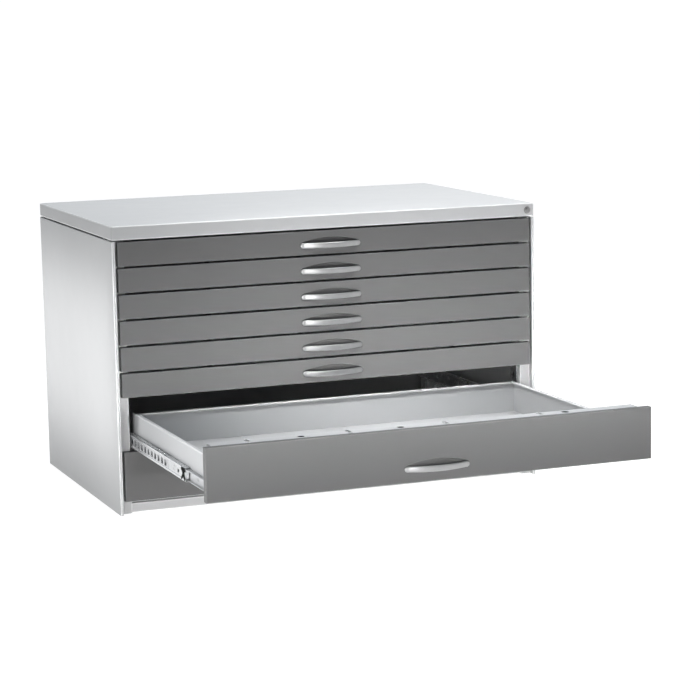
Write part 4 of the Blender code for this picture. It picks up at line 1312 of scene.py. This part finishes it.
def make_floor():
    """A plain pale floor that glows a little, so that shadows on it stay faint."""
    mesh = bpy.data.meshes.new("floor")
    reach = 150.0
    corners = [(-reach, -reach, 0), (reach, -reach, 0), (reach, reach, 0), (-reach, reach, 0)]
    mesh.from_pydata(corners, [], [(0, 1, 2, 3)])
    floor = bpy.data.objects.new("floor", mesh)
    bpy.context.scene.collection.objects.link(floor)
    paint = bpy.data.materials.new("pale floor")
    paint.use_nodes = True
    shader = paint.node_tree.nodes["Principled BSDF"]
    shader.inputs["Base Color"].default_value = (0.25, 0.25, 0.25, 1.0)
    shader.inputs["Roughness"].default_value = 0.8
    shader.inputs["Specular IOR Level"].default_value = 0.1
    shader.inputs["Emission Color"].default_value = (1.0, 1.0, 1.0, 1.0)
    shader.inputs["Emission Strength"].default_value = 0.96
    mesh.materials.append(paint)


def set_stage():
    """A surround that is white near the horizon, dimmer above and at the front left, and lights."""
    make_floor()
    world = bpy.data.worlds.new("studio")
    world.use_nodes = True
    wire = Wiring(world.node_tree)
    split = wire.node("ShaderNodeSeparateXYZ")
    wire.feed(split.inputs[0], wire.node("ShaderNodeTexCoord").outputs["Generated"])
    background = world.node_tree.nodes["Background"]
    height = wire.ranged(split.outputs["Z"], 0.10, 0.32, 0.0, 1.0)
    tint = wire.mixed(height, (1.05, 1.05, 1.05, 1.0), (0.20, 0.25, 0.30, 1.0))
    wire.feed(background.inputs["Color"], tint)
    away = wire.maths("ADD", split.outputs["X"], split.outputs["Y"])
    wire.feed(background.inputs["Strength"], wire.ranged(away, -0.8, 0.6, 0.30, 1.0))
    bpy.context.scene.world = world
    bpy.context.scene.view_settings.view_transform = "Standard"
    area_light("top softbox", (0.75, 0.2, 3.3), (0.15, 0.1, 0.4), (2.0, 1.4), 122.0)
    for name, place, target, size, power, spread in (
        ("front strip", (0.0, -2.62, 0.40), (0.0, -0.02, 0.33), (1.5, 0.12), 2.0, 19.6),
        ("right strip", (0.65, -2.62, 0.35), (0.65, -0.02, 0.6), (1.0, 0.12), 0.5, 20.3),
    ):
        area_light(name, place, target, size, power, spread, mirrored=False)
    area_light("side strip", (-0.94, 0.42, 0.375), (-0.6, 0.42, 0.375), (0.9, 0.48), 1.25, 68.0)
    area_light("left softbox", (-1.5, -0.95, 0.3), (-0.55, -0.5, 0.25), (0.35, 0.5), 1.7, 72.0)
    place, target = (-1.2, -2.6, 0.4), (0.0, 0.0, 0.5)
    area_light("handle softbox", place, target, (0.6, 1.2), 27.0, matt=False)
    place, target = (-1.2, -0.55, 0.42), (0.6, -0.012, 0.34)
    area_light("return spot", place, target, (0.06, 0.06), 0.024, 6.5, mirrored=False)
    area_light("tray fill", (-1.2, -1.5, 2.2), (0.1, -0.15, 0.22), (0.4, 0.4), 2.1, 26.0)
    area_light("tray softbox", (0.6, -1.6, 2.6), (0.25, -0.35, 0.2), (0.6, 0.6), 0.7, 31.0)


set_stage()
point_camera()
finish_solids()
make_top()
make_sides()
make_plinth()
make_racks()
make_lock()
for drawer in DRAWERS:
    make_front(drawer)
    make_handle(drawer)
    make_tray(drawer)
    make_middle_members(drawer)
